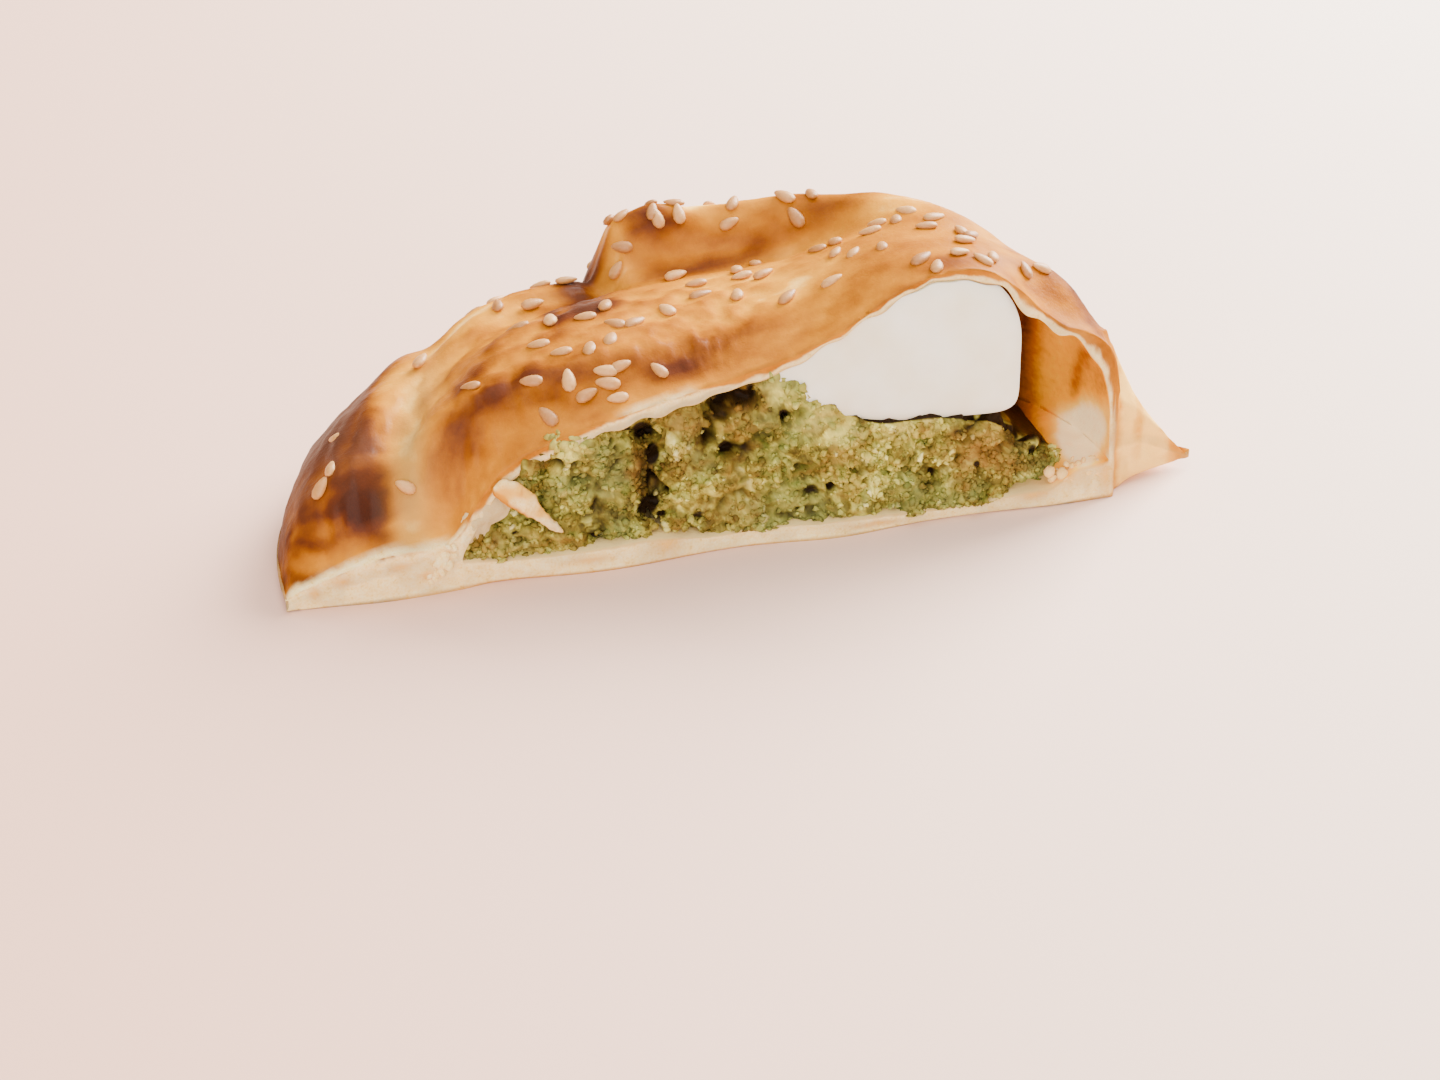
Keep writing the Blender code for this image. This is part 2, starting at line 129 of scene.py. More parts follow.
def crust_top(x, y):
    """Height of the outside: the dome less a groove plus a roll, pressed down to the cut edge.

    The pinched tip is a cone over the right end, joined on by a soft maximum.
    """
    y = np.maximum(y, 0.0)
    turn = np.degrees(np.arctan2(y, x))
    dome, out = plain_dome(x, y)
    groove_at = 0.66 + 0.10 * smooth(150.0, 180.0, turn)
    groove = 0.0022 * bump(out, groove_at, 0.07) * smooth(30.0, 60.0, turn)
    roll = (0.0058 * smooth(10.0, 50.0, turn) + 0.0046 * bump(turn, 88.0, 14.0)
            + 0.0034 * bump(turn, 62.0, 15.0)) * bump(out, 0.82, 0.13) * smooth(101.5, 94.5, turn)
    roll += 0.0021 * bump(turn, 116.0, 20.0) * bump(out, 0.79, 0.15) * smooth(97.0, 104.0, turn)
    blunt = 24.0 + 36.0 * smooth(0.030, 0.048, x) + 70.0 * smooth(-0.044, -0.050, x)
    edge = cut_edge(x) * np.sqrt(1.0 - out ** blunt)
    z = edge + (dome - groove + roll - edge) * smooth(0.0, LIP_RUN, y)
    reach = rim(np.arctan2(y, x))
    inside = np.clip(np.hypot(x, y) / reach, 0.0, 1.0)
    away = np.maximum(reach - np.hypot(x, y), 0.0)
    tip = np.minimum(TIP_HEIGHT + TIP_SLOPE * away + TIP_CURVE * away ** 2, TIP_TOP)
    closing = np.sqrt(1.0 - inside ** 30)
    tip = tip * closing * smooth(50.0, 35.0, turn) * smooth(0.60, 0.75, inside)
    return no_less(z, tip, 0.0012 * closing * smooth(0.0, 0.004, tip))


def roof(x, y):
    """Height of the pocket's ceiling: a thin edge at the cut, 3 mm under the crust further in."""
    y = np.maximum(y, 0.0)
    ragged = (0.00025 * np.sin(x / 0.00125) * np.sin(x / 0.00310 + 0.7)
              + 0.00020 * np.sin(x / 0.00074 + 2.0)) * (1.0 + 1.2 * smooth(0.034, 0.040, x))
    lip = (0.0017 - 0.0010 * bump(x, 0.021, 0.013) + 0.0019 * bump(x, 0.0408, 0.0022)
           - 0.0008 * smooth(0.0360, 0.0440, x))
    at_cut = cut_edge(x) - lip + ragged * smooth(-0.030, -0.026, x)
    deeper = np.minimum(plain_dome(x, y)[0], crust_top(x, y)) - SHELL
    return at_cut + (deeper - at_cut) * smooth(0.0, LIP_RUN, y)


def floor(x):
    """Height of the pocket's floor, thicker at the left and rising at the right end."""
    return (0.0016 + 0.0016 * smooth(0.002, -0.010, x) + 0.0010 * smooth(0.030, 0.044, x)
            + 0.0025 * smooth(0.0435, 0.0485, x) + 0.0008 * bump(x, 0.0080, 0.0150))


def crust_cut(x, z):
    """Depth of the cut face: two small sine waves, slanting back along the pinched tip."""
    wave = 0.00035 * np.sin(x / 0.0047 + 1.0) + 0.00025 * np.sin(z / 0.0031 + x / 0.0090)
    behind_strand = 0.0016 * smooth(0.0526, TIP_FRONT_START, x)
    return wave + behind_strand + TIP_FRONT_SLOPE * np.maximum(x - TIP_FRONT_START, 0.0)


def lattice(ix, iy, iz, seed):
    """A fixed random number from -1 to 1 for each whole-numbered point, by mixing its bits."""
    h = (ix * 374761393 + iy * 668265263 + iz * 2147483647 + seed * 1274126177) & 0xFFFFFFFF
    h = ((h ^ (h >> 13)) * 1274126177) & 0xFFFFFFFF
    h = ((h ^ (h >> 15)) * 2246822519) & 0xFFFFFFFF
    return ((h ^ (h >> 16)) & 0xFFFFFF) / float(0x7FFFFF) - 1.0


def noise(points, size, seed=0):
    """Smooth noise from -1 to 1: lattice numbers blended over each cell by the smooth step."""
    p = np.asarray(points) / size
    base = np.floor(p).astype(np.int64)
    t = p - base
    t = t * t * (3.0 - 2.0 * t)
    total = np.zeros(p.shape[:-1])
    for corner in range(8):
        dx, dy, dz = corner & 1, (corner >> 1) & 1, corner >> 2
        weight = ((t[..., 0] if dx else 1.0 - t[..., 0])
                  * (t[..., 1] if dy else 1.0 - t[..., 1])
                  * (t[..., 2] if dz else 1.0 - t[..., 2]))
        total += weight * lattice(base[..., 0] + dx, base[..., 1] + dy, base[..., 2] + dz, seed)
    return total


def stations(start, end, count, crowded):
    """Count places from start to end, closer together round each (place, width, strength)."""
    fine = np.linspace(start, end, 8001)
    density = np.ones_like(fine)
    for place, width, strength in crowded:
        density += strength * bump(fine, place, width)
    run = np.concatenate([[0.0], np.cumsum(0.5 * (density[1:] + density[:-1]))])
    return np.interp(np.linspace(0.0, run[-1], count), run, fine)


def unit(vectors):
    """The same directions with length 1."""
    return vectors / np.maximum(np.linalg.norm(vectors, axis=-1, keepdims=True), 1e-12)


def out_of_grid(points):
    """Outward direction of a closed grid of sections: the cross product of its two differences."""
    along = np.gradient(points, axis=0)
    round_ = 0.5 * (np.roll(points, -1, axis=1) - np.roll(points, 1, axis=1))
    return unit(np.cross(round_, along))


def grid_quads(columns, rows):
    """Faces of a closed grid: point (i, j) joins (i + 1, j) and (i, j + 1), j wrapping round."""
    index = np.arange(columns * rows).reshape(columns, rows)
    a, b = index[:-1], index[1:]
    return np.stack([a, np.roll(a, -1, axis=1), np.roll(b, -1, axis=1), b], axis=-1).reshape(-1, 4)


def add_object(name, data):
    """Puts a mesh, a lamp or a camera into the scene."""
    obj = bpy.data.objects.new(name, data)
    bpy.context.scene.collection.objects.link(obj)
    return obj


def from_arrays(name, points, quads, looks, merge=1e-6):
    """An object from points and four-sided faces, its poles merged and its slits filled.

    looks gives a number for each point under a name, kept as an attribute.
    """
    mesh = bpy.data.meshes.new(name)
    mesh.vertices.add(len(points))
    mesh.vertices.foreach_set("co", (points + PLACE).astype(np.float32).ravel())
    mesh.loops.add(quads.size)
    mesh.loops.foreach_set("vertex_index", quads.astype(np.int32).ravel())
    mesh.polygons.add(len(quads))
    mesh.polygons.foreach_set("loop_start", (4 * np.arange(len(quads))).astype(np.int32))
    mesh.update(calc_edges=True)
    for look, values in looks.items():
        layer = mesh.attributes.new(look, "FLOAT", "POINT")
        layer.data.foreach_set("value", np.ascontiguousarray(values, dtype=np.float32).ravel())
    bm = bmesh.new()
    bm.from_mesh(mesh)
    bmesh.ops.remove_doubles(bm, verts=bm.verts, dist=merge)
    bmesh.ops.dissolve_degenerate(bm, edges=bm.edges, dist=merge / 4)
    slits = [edge for edge in bm.edges if edge.is_boundary]
    if slits:
        bmesh.ops.holes_fill(bm, edges=slits)
        bmesh.ops.recalc_face_normals(bm, faces=bm.faces)
    bm.to_mesh(mesh)
    bm.free()
    mesh.polygons.foreach_set("use_smooth", [True] * len(mesh.polygons))
    return add_object(name, mesh)


def closed_grid(name, points, looks, merge=1e-6):
    """A mesh from a grid of closed sections."""
    return from_arrays(name, points.reshape(-1, 3), grid_quads(*points.shape[:2]), looks, merge)


class Wire:
    """An output of a node; arithmetic on wires and numbers adds Math nodes to the material."""

    def __init__(self, tree, socket=None):
        self.tree = tree
        self.socket = socket

    def node(self, kind, settings, inputs, out=0):
        """A node of a kind: its settings first, then its inputs as values or wires."""
        node = self.tree.nodes.new("ShaderNode" + kind)
        for setting, value in settings.items():
            if setting == "stops":
                ramp = node.color_ramp
                ramp.elements.remove(ramp.elements[1])
                ramp.elements[0].position, ramp.elements[0].color = value[0][0], (*value[0][1], 1.0)
                for place, colour in value[1:]:
                    ramp.elements.new(place).color = (*colour, 1.0)
            else:
                setattr(node, setting, value)
        for name, value in inputs.items():
            if isinstance(value, Wire):
                self.tree.links.new(value.socket, node.inputs[name])
            else:
                node.inputs[name].default_value = value
        return Wire(self.tree, node.outputs[out])

    def math(self, operation, *values):
        return self.node("Math", {"operation": operation}, dict(enumerate(values)))

    def __add__(self, other):
        return self.math("ADD", self, other)

    def __sub__(self, other):
        return self.math("SUBTRACT", self, other)

    def __mul__(self, other):
        return self.math("MULTIPLY", self, other)

    def __rsub__(self, other):
        return self.math("SUBTRACT", other, self)

    __radd__ = __add__
    __rmul__ = __mul__

    def between(self, low, high):
        """0 below low, 1 above high, smooth between."""
        settings = {"interpolation_type": "SMOOTHSTEP"}
        return self.node("MapRange", settings, {"Value": self, "From Min": low, "From Max": high})

    def mix(self, one, other):
        """One colour where this wire is 0, the other where it is 1."""
        one, other = (end if isinstance(end, Wire) else (*end, 1.0) for end in (one, other))
        return self.node("Mix", {"data_type": "RGBA"}, {0: self, 6: one, 7: other}, out=2)

    def look(self, name):
        """A piece's own attribute."""
        return self.node("Attribute", {"attribute_name": name}, {}, out=2)

    def speckle(self, place, scale, detail=2.0, rough=0.5):
        """Noise of so many cells for each metre, about 0.5."""
        inputs = {"Vector": place, "Scale": scale, "Detail": detail, "Roughness": rough}
        return self.node("TexNoise", {}, inputs)

    def ramp(self, stops):
        """A colour for this number, from a row of (place, colour) stops."""
        return self.node("ValToRGB", {"stops": stops}, {0: self})


def new_material(name):
    """A material, its shader, and a wire for adding nodes, with Object coordinates."""
    material = bpy.data.materials.new(name)
    material.use_nodes = True
    shader = material.node_tree.nodes["Principled BSDF"]
    start = Wire(material.node_tree)
    place = start.node("TexCoord", {}, {}, out=3)
    return material, shader, start, place


def finish_shader(shader, tree, **inputs):
    """Sets or links the shader's sockets; words in a name are parted by underscores."""
    for name, value in inputs.items():
        socket = shader.inputs[name.replace("_", " ")]
        if isinstance(value, Wire):
            tree.links.new(value.socket, socket)
        else:
            socket.default_value = value


def rough_normal(start, height, distance, strength):
    """A bumped normal from a height wire."""
    return start.node("Bump", {}, {"Height": height, "Distance": distance, "Strength": strength})


def dress(obj, material, slot_name, *nodes):
    """Gives a finished piece its material and rides it on the pie, standing for CAD nodes."""
    obj.data.materials.append(material)
    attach(obj, "root")
    if nodes:
        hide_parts(*nodes)


# Columns along the cut, from the left end to the end of the tip
tip_angles = np.linspace(math.radians(3.0), math.pi, 4001)
rim_x = rim(tip_angles) * np.cos(tip_angles)
rim_y = rim(tip_angles) * np.sin(tip_angles)
tip_end = np.argmax(rim_y >= crust_cut(rim_x, TIP_HEIGHT))
tip_x = rim_x[tip_end]
crust_x = stations(-LEFT, tip_x, 430, (
    (-0.0540, 0.0020, 5.0), (-0.0300, 0.0060, 0.8), (-0.0320, 0.0012, 2.0), (0.0505, 0.0030, 3.0),
    (0.0535, 0.0012, 3.0), (0.0400, 0.0030, 0.7), (tip_x, 0.0012, 3.0)))
back_y = np.interp(-crust_x, -rim_x[tip_end:], rim_y[tip_end:])[:, None]

# Rows round a section: over the top to the cut, down the cut, through the pocket, and back under
TOP_ROWS = 105
BAND_ROWS = 9
ROOF_ROWS = 34
FLOOR_ROWS = 30
SOLE_ROWS = 6
BASE_ROWS = 12

x = crust_x[:, None]
tip_lift = TIP_LIFT * smooth(0.0528, 0.0565, x)
front = np.minimum(crust_cut(x, cut_edge(x)), back_y)


def under_edge(y):
    """Height of the underside, rounded up to the rim and lifted a little at the tip."""
    far = np.hypot(x, y) / rim(np.arctan2(np.maximum(y, 0.0), x))
    return BASE_ROUNDING * smooth(0.96, 1.0, far) * (1.0 - tip_lift / BASE_ROUNDING * 0.5) + tip_lift


outer_run = 1.0 - (1.0 - np.linspace(0.0, 1.0, TOP_ROWS)[None, :]) ** 2
outer_y = front + (back_y - front) * outer_run
outer_z = np.maximum(crust_top(x + 0.0 * outer_y, outer_y), under_edge(outer_y))
outer = np.stack([x + 0.0 * outer_y, outer_y, outer_z], axis=-1)[:, ::-1]

edge_z = outer_z[:, :1]
reach = np.clip(np.abs(x) / np.where(x < 0.0, POCKET_LEFT, POCKET_RIGHT), 0.0, 1.0)
pocket_back = POCKET_DEEP * (1.0 - reach ** POCKET_POWER) ** (1.0 / POCKET_POWER)
waist = np.minimum(POCKET_WAIST, 0.5 * (edge_z + tip_lift))


def pocket_half(rows, end_height):
    """The pocket's roof or floor: from the waist to end_height by the root of 1 - out ** power."""
    run = 1.0 - (1.0 - np.linspace(0.0, 1.0, rows)[None, :]) ** 2
    y = pocket_back * run
    out = (reach ** POCKET_POWER + (y / POCKET_DEEP) ** POCKET_POWER) ** (1.0 / POCKET_POWER)
    turn = np.degrees(np.arctan2(y, x))
    power = (10.0 - 5.0 * smooth(10.0, 60.0, turn) * smooth(170.0, 120.0, turn)
             + 18.0 * smooth(22.0, 4.0, turn))
    side = np.sqrt(1.0 - np.clip(out, 0.0, 1.0) ** power)
    z = waist + (end_height(x + 0.0 * y, y) - waist) * side * (reach < 1.0)
    y = y + crust_cut(x + 0.0 * y, z) * np.where(reach < 1.0, 1.0 - run, 1.0)
    return np.stack([x + 0.0 * y, np.minimum(y, np.maximum(back_y, 0.0)), z], axis=-1)


def cut_face(high, low, rows):
    """Rows down the cut between two heights, on the wavy cut."""
    z = high + (low - high) * np.linspace(0.0, 1.0, rows + 2)[None, 1:-1]
    return np.stack([x + 0.0 * z, np.minimum(crust_cut(x + 0.0 * z, z), back_y), z], axis=-1)


ceiling = pocket_half(ROOF_ROWS, roof)
bottom = pocket_half(FLOOR_ROWS, lambda x, y: floor(x))[:, ::-1]
band = cut_face(edge_z, ceiling[:, :1, 2], BAND_ROWS)
sole = cut_face(bottom[:, -1:, 2], tip_lift, SOLE_ROWS)
base_y = front + (back_y - front) * np.linspace(0.0, 1.0, BASE_ROWS + 1)[None, :-1] ** 0.6
base = np.stack([x + 0.0 * base_y, base_y, under_edge(base_y)], axis=-1)
section = np.concatenate([outer, band, ceiling, bottom, sole, base], axis=1)

row = np.arange(section.shape[1])[None, :]
FIRST_INNER = TOP_ROWS + BAND_ROWS
FIRST_SOLE = FIRST_INNER + ROOF_ROWS + FLOOR_ROWS
ones = np.ones(section.shape[:2])
is_outer = ones * (row < TOP_ROWS)
is_inner = ones * (row >= FIRST_INNER) * (row < FIRST_SOLE) * (reach < 1.0)
is_base = ones * (row >= FIRST_SOLE + SOLE_ROWS)
is_cut = 1.0 - is_outer - is_inner - is_base

# Relief of the crust: slow dents, folds of dough that run round the pie, and fine wrinkles
sx, sy, sz = np.moveaxis(section, -1, 0)
turn = np.degrees(np.arctan2(np.maximum(sy, 0.0), sx))
out = plain_dome(sx, np.maximum(sy, 0.0))[1]
round_the_pie = np.stack([out * 0.045, turn * 0.00022, 0.0 * out], axis=-1)
streaks = noise(round_the_pie, 0.0016, 31) + 0.5 * noise(round_the_pie, 0.0008, 32)
dents = noise(section, 0.0110, 33)
wrinkles = noise(section, 0.0021, 34)
pores = noise(section, 0.0006, 35)
calm = smooth(0.0, 0.0050, sy) * (0.35 + 0.65 * smooth(0.0, 0.0030, sz))
hollow_at = -0.0385 + 0.0105 * smooth(0.006, 0.036, sy)
fold = (0.0005 * bump(sx, hollow_at - 0.0050, 0.0030) - 0.0007 * bump(sx, hollow_at, 0.0026)
        + 0.0003 * bump(sx, hollow_at + 0.0065, 0.0035)) * smooth(0.043, 0.034, sy) * smooth(0.002, 0.008, sy)
relief = is_outer * (0.00040 * dents * calm + 0.00026 * streaks * calm * smooth(25.0, 70.0, turn)
                     + 0.00008 * wrinkles + 0.00003 * pores + fold)
relief += is_cut * (0.00022 * noise(section, 0.0011, 36) + 0.00010 * pores)
relief += is_inner * (0.00012 * wrinkles + 0.00025 * dents)
relief *= smooth(0.0, 0.0015, sz) * (row > 0)
outward = np.where(is_cut[..., None] > 0.5, np.array((0.0, -1.0, 0.0)), out_of_grid(section))
section = section + outward * relief[..., None]
section[..., 2] = np.maximum(section[..., 2], 0.0)
sx, sy, sz = np.moveaxis(section, -1, 0)

# How much the oven browned each place, from 0 for pale dough to 1 for nearly burnt, with painted
# highlights as lighter spots: on the step at the back (-3.6, 38), on the back fold (9, 37) and on
# the crest at the right (30.5, 25). The spots are middle x, y, reach along, reach across in mm, lean
# in degrees, and how much darker
BROWNED_AND_HIGHLIGHTS = (
    (-43.2, 3.8, 3, 1.8, -20, 0.42), (-41.6, 9.5, 1.6, 5, 14, 0.06), (-42.6, 14, 1.8, 5, 12, 0.06),
    (-43.5, 27, 1.6, 9, -12, 0.26), (-44, 1.8, 8, 2.2, 0, -0.30), (-36.4, 9, 2, 6.5, -14, -0.15),
    (-34, 20, 2.8, 8, -20, -0.09), (-24.5, 8, 6.5, 1.5, 12, 0.30), (-19, 6, 5, 2.2, 0, 0.18),
    (-29, 13, 2, 6, -24, 0.26), (-25.5, 15, 1.1, 6.5, -24, 0.14), (-24, 33, 6, 8, -20, -0.14),
    (-15, 23, 1.3, 6.5, -6, 0.36), (-10, 21.5, 4.4, 2.4, 12, 0.40), (-9.8, 28, 3, 6, -8, 0.42),
    (-8.2, 38.5, 2.8, 5.4, -8, 0.52), (-3.6, 38, 1.2, 5, 4, -0.26), (4, 6.8, 13, 3, 4, 0.15),
    (-2, 5.6, 7.5, 1.9, 4, 0.08), (-12, 5, 6, 2.4, 0, 0.10), (7, 31, 11, 1.2, -3, 0.26),
    (24, 30, 6, 2.2, -25, 0.18), (2, 42.5, 12, 1.7, -2, 0.26), (9, 37, 6, 1.6, -6, -0.26),
    (7, 20, 16, 7, 0, -0.10), (13, 12.5, 6, 3, 12, -0.16), (30.5, 25, 5.5, 3, -38, -0.24),
    (41.5, 16, 4, 9, 14, -0.08), (29, 9, 7, 4, 20, 0.08), (31, 3, 4.5, 1.6, 8, 0.20),
    (45, 6, 5, 8, -10, 0.12), (49.5, 6, 1.8, 6, 8, 0.14), (47, 14, 1.6, 6, 10, 0.16),
    (64, 6, 2.2, 1.6, 20, 0.42), (-30, 5, 3.4, 2.6, 0, 0.12), (-3.5, 4, 4.2, 1.7, 4, 0.20),
    (11, 7, 4, 2.2, 8, -0.08), (17, 7.2, 4, 2.4, 12, -0.10), (-2.7, 20.4, 4, 3, 0, 0.08),
    (-18, 16.2, 3, 3, 0, 0.08), (-10.7, 26.7, 3.4, 2.2, 10, 0.10), (1.5, 35.4, 4.6, 2.4, -4, 0.26),
    (-24.7, 9.7, 2.6, 2.6, 0, 0.05))
REDDENED = ((-8.5, 37, 3.4, 6.5, -8, 0.8), (-9.5, 23, 3.6, 4, 10, 0.7))
GREYED = ((-37, 6, 2.2, 7.5, -14, 0.95), (-33, 19, 2.6, 8.5, -20, 0.70))
PLAIN_BAKE = 0.37
BAKE_CONTRAST = 1.35
GOLDEN_BAKE = 0.14


def patches(spots):
    """The sum of soft ovals over the plan: much times e to the power of minus distance squared."""
    total = 0.0
    for x_mm, y_mm, wide, deep, lean, much in spots:
        c, s = math.cos(math.radians(lean)), math.sin(math.radians(lean))
        along = (sx - MM * x_mm) * c + (sy - MM * y_mm) * s
        beside = (sy - MM * y_mm) * c - (sx - MM * x_mm) * s
        total = total + much * np.exp(-(along / (MM * wide)) ** 2 - (beside / (MM * deep)) ** 2)
    return total


flank_edge = -0.0392 + 0.0080 * smooth(0.016, 0.040, sy) + 0.0006 * wrinkles
flank_fade = 1.0 - 0.65 * smooth(0.020, 0.040, sy)
streaky = smooth(15.0, 60.0, turn) * smooth(0.003, 0.016, sy + 0.4 * np.maximum(-0.030 - sx, 0.0))
along_cut = noise(section * np.array((0.22, 1.0, 1.0)), 0.0011, 45)
scorched = smooth(0.15, 0.75, noise(section * np.array((1.0, 0.45, 0.45)), 0.0026, 41))
baked = (PLAIN_BAKE + 0.06 * dents + 0.12 * streaks * streaky + 0.04 * wrinkles
         + 0.26 * flank_fade * smooth(0.0018, -0.0026, sx - flank_edge)
         + (0.08 + 0.05 * smooth(-0.036, -0.041, sx)) * along_cut * smooth(0.020, 0.004, sy)
         + patches(BROWNED_AND_HIGHLIGHTS) + 0.16 * smooth(0.010, 0.0, sz) * smooth(0.016, 0.034, sy)
         - 0.34 * smooth(0.0520, 0.0550, sx) + 0.16 * scorched * smooth(0.034, 0.042, sx))
baked = np.clip(PLAIN_BAKE + BAKE_CONTRAST * (baked - PLAIN_BAKE), 0.0, 1.0)
rosy = (flank_fade * smooth(0.001, -0.003, sx - flank_edge) * smooth(0.003, 0.010, sy)
        * (0.80 + 0.25 * streaks))
rosy = np.clip(rosy + patches(REDDENED), 0.0, 1.0)

# How far the surface is from baked skin: 0 on the outside, 1 on cut or torn crumb. At the cut the
# skin comes down over the edge by bare, and crumb shows on top within fringe
end_skin = smooth(0.0, 0.5, noise(section, 0.0022, 42)) * smooth(0.0470, 0.0520, sx)
tip_skin = smooth(0.0522, 0.0530, sx)
crumb = is_cut * (1.0 - 0.85 * tip_skin) * (1.0 - 0.6 * end_skin) + 0.25 * is_base
upper_lip = is_cut * (row < FIRST_INNER)
down_the_lip = (row - TOP_ROWS + 1.0) / BAND_ROWS + 0.22 * noise(section, 0.0017, 43) + 0.14 * pores
bare = (0.50 - 0.36 * bump(sx, -0.0070, 0.0085, 4.0) - 0.50 * smooth(-0.0290, -0.0330, sx)
        + 0.16 * bump(sx, 0.0035, 0.0035) - 0.14 * smooth(0.0360, 0.0390, sx)
        + 0.08 * bump(sx, 0.0230, 0.0110, 4.0) + 0.34 * smooth(0.0430, 0.0465, sx))
crumb *= 1.0 - upper_lip * smooth(bare + 0.16, bare - 0.16, down_the_lip)
fringe = (0.0004 + 0.0012 * smooth(-0.030, -0.036, sx) + 0.0005 * smooth(0.036, 0.040, sx)
          + 0.0010 * bump(sx, -0.0070, 0.0075, 4.0))
from_edge = np.abs(sy - crust_cut(sx, sz)) + 0.0004 * wrinkles + 0.0002 * pores
crumb += (is_outer * smooth(fringe, 0.2 * fringe, from_edge) * (1.0 - tip_skin)
          * smooth(0.22, 0.10, bare))
crumb = np.clip(crumb, 0.0, 1.0)

# Where the skin shines, and where the dough is greyish: painted shade low on the lip, where it
# faces down, and in the torn wall's place, where it lies back; greyish blotches of the sole; and
# two greyish valleys of the outside
glaze = is_outer * (1.0 - crumb) * smooth(0.042, 0.034, sx) * smooth(-0.052, -0.045, sx)
shade_under_lip = (0.30 + 0.55 * bump(sx, -0.0070, 0.0100, 4.0)) * smooth(0.2, 0.8, down_the_lip)
right_lip = 0.25 * smooth(0.036, 0.040, sx) * smooth(-0.2, 0.4, noise(section, 0.0024, 46))
wall_place_shade = 0.75 * bump(sx, -0.0335, 0.0022) * bump(sz, 0.0082, 0.0022)
blotches = 0.30 * smooth(-0.2, 0.5, noise(section, 0.0030, 44))
grey = np.clip(upper_lip * (shade_under_lip + right_lip) + is_cut * (1.0 - upper_lip) * (wall_place_shade + blotches)
               + is_outer * patches(GREYED), 0.0, 1.0)

# Yellow streaks in the pale crumb: middle x, height, reach along and reach up in mm
GOLDEN_DOUGH = (
    (45.9, 4.2, 2.4, 1.6), (42, 2.4, 2.4, 1), (51.6, 3.2, 1.1, 2), (50.6, 9, 0.9, 3),
    (43, 20.6, 2.4, 1.2), (-6.3, 2.4, 1.9, 1.3), (-47, 3.4, 1.3, 0.8), (-40, 4.6, 1.6, 0.6),
    (-50.4, 2.2, 0.8, 0.9), (-36.6, 2.8, 0.9, 0.8), (-16, 1.8, 2.6, 0.5), (21, 1, 3, 0.4))
for x_mm, z_mm, wide, tall in GOLDEN_DOUGH:
    golden = is_cut * bump(sx, MM * x_mm, MM * wide) * bump(sz, MM * z_mm, MM * tall)
    crumb *= 1.0 - 0.70 * golden
    baked += (GOLDEN_BAKE - baked) * golden

# The lining at the right end, laid out by where it shows in the cut seen from the left and above:
# painted shade as dark amber beside the egg, painted light shining through the thin dough as bright
# amber further on, a pale fold of thicker dough, and painted shade along the crease at its edge
SEEN_ALONG = 0.2844
SEEN_UP = 0.60
show_x = sx - SEEN_ALONG * sy + 0.0004 * wrinkles
show_z = sz + SEEN_UP * sy
amber = is_inner * smooth(0.0300, 0.0380, sx) * smooth(0.0020, 0.0045, sz)
fold = np.exp(-(((show_x - 0.0486) / 0.0034) ** 2 + ((show_z - 0.0098) / 0.0056) ** 2) ** 2.4)
crease_shade = bump(show_x - 0.0480 - 0.14 * (show_z - 0.0180), 0.0, 0.0008) * smooth(0.0120, 0.0160, show_z)
pale = np.clip(0.06 + 0.40 * smooth(0.0408, 0.0450, show_x) + 0.62 * fold - 0.20 * crease_shade
               - 0.12 * smooth(0.0480, 0.0510, show_x) * (1.0 - fold) + 0.05 * dents, 0.0, 1.0)

crust = closed_grid("crust", section, {
    "baked": baked, "rosy": rosy, "crumb": crumb, "inner": is_inner, "amber": amber, "pale": pale,
    "grey": grey, "glaze": glaze}, 2e-6)
material, shader, start, place = new_material("baked_dough")
fine = start.speckle(place, 900.0, 3.0, 0.6)
grain = start.speckle(place, 3500.0, 2.0, 0.6)
# Browning, and the painted highlights carried with it, choose the skin's colour
browning_and_highlight_tone = start.look("baked") + 0.14 * (fine - 0.5)
skin = browning_and_highlight_tone.ramp((
    (0.00, (0.98, 0.58, 0.14)), (0.16, (0.72, 0.30, 0.016)), (0.34, (0.50, 0.178, 0.004)),
    (0.48, (0.36, 0.110, 0.002)), (0.62, (0.215, 0.056, 0.002)), (0.78, (0.095, 0.022, 0.006)),
    (1.00, (0.045, 0.012, 0.006))))
skin = (0.60 * start.look("rosy")).mix(skin, (0.115, 0.042, 0.020))
skin = (0.62 * start.look("grey")).mix(skin, (0.36, 0.215, 0.062))
pith = (0.5 * fine + 0.5 * grain).ramp((
    (0.30, (0.74, 0.45, 0.095)), (0.44, (0.94, 0.68, 0.27)), (0.66, (0.98, 0.80, 0.44))))
# Painted shade on the lip and at the torn wall's place, and greyish blotches, darken the crumb
pith = (0.85 * start.look("grey")).mix(pith, (0.36, 0.275, 0.150))
# The lining's colour: painted shade, a painted glow of light through the dough, and the pale fold
lining_glow_and_shade = (0.20 * (fine - 0.5) + start.look("pale")).ramp((
    (0.05, (0.085, 0.015, 0.0002)), (0.25, (0.36, 0.088, 0.0004)), (0.48, (0.82, 0.300, 0.001)),
    (0.75, (0.92, 0.50, 0.08)), (1.00, (0.98, 0.76, 0.42))))
lining = start.look("amber").mix((0.72, 0.52, 0.20), lining_glow_and_shade)
colour = start.look("inner").mix(start.look("crumb").mix(skin, pith), lining)
finish_shader(shader, material.node_tree, Base_Color=colour,
              Roughness=0.36 + 0.30 * start.look("crumb") + 0.12 * fine,
              Coat_Weight=0.08 * start.look("glaze"), Coat_Roughness=0.24, Specular_IOR_Level=0.02,
              Subsurface_Weight=0.05, Subsurface_Radius=(0.003, 0.0015, 0.0006), Subsurface_Scale=0.5,
              # Emission: a painted glow of light through the thin lining at the right end
              Emission_Color=start.look("amber").mix((0.0, 0.0, 0.0), lining_glow_and_shade), Emission_Strength=0.30,
              Normal=rough_normal(start, 0.7 * fine + 0.3 * grain, 0.0003, 0.5))
dress(crust, material, "pastry_crust", "pastry_crust")

# The sesame seeds
# Hulled white sesame, pressed into the glaze before baking: flat drops about 3 mm long, scattered
# in loose groups on the top and more thinly at the back.

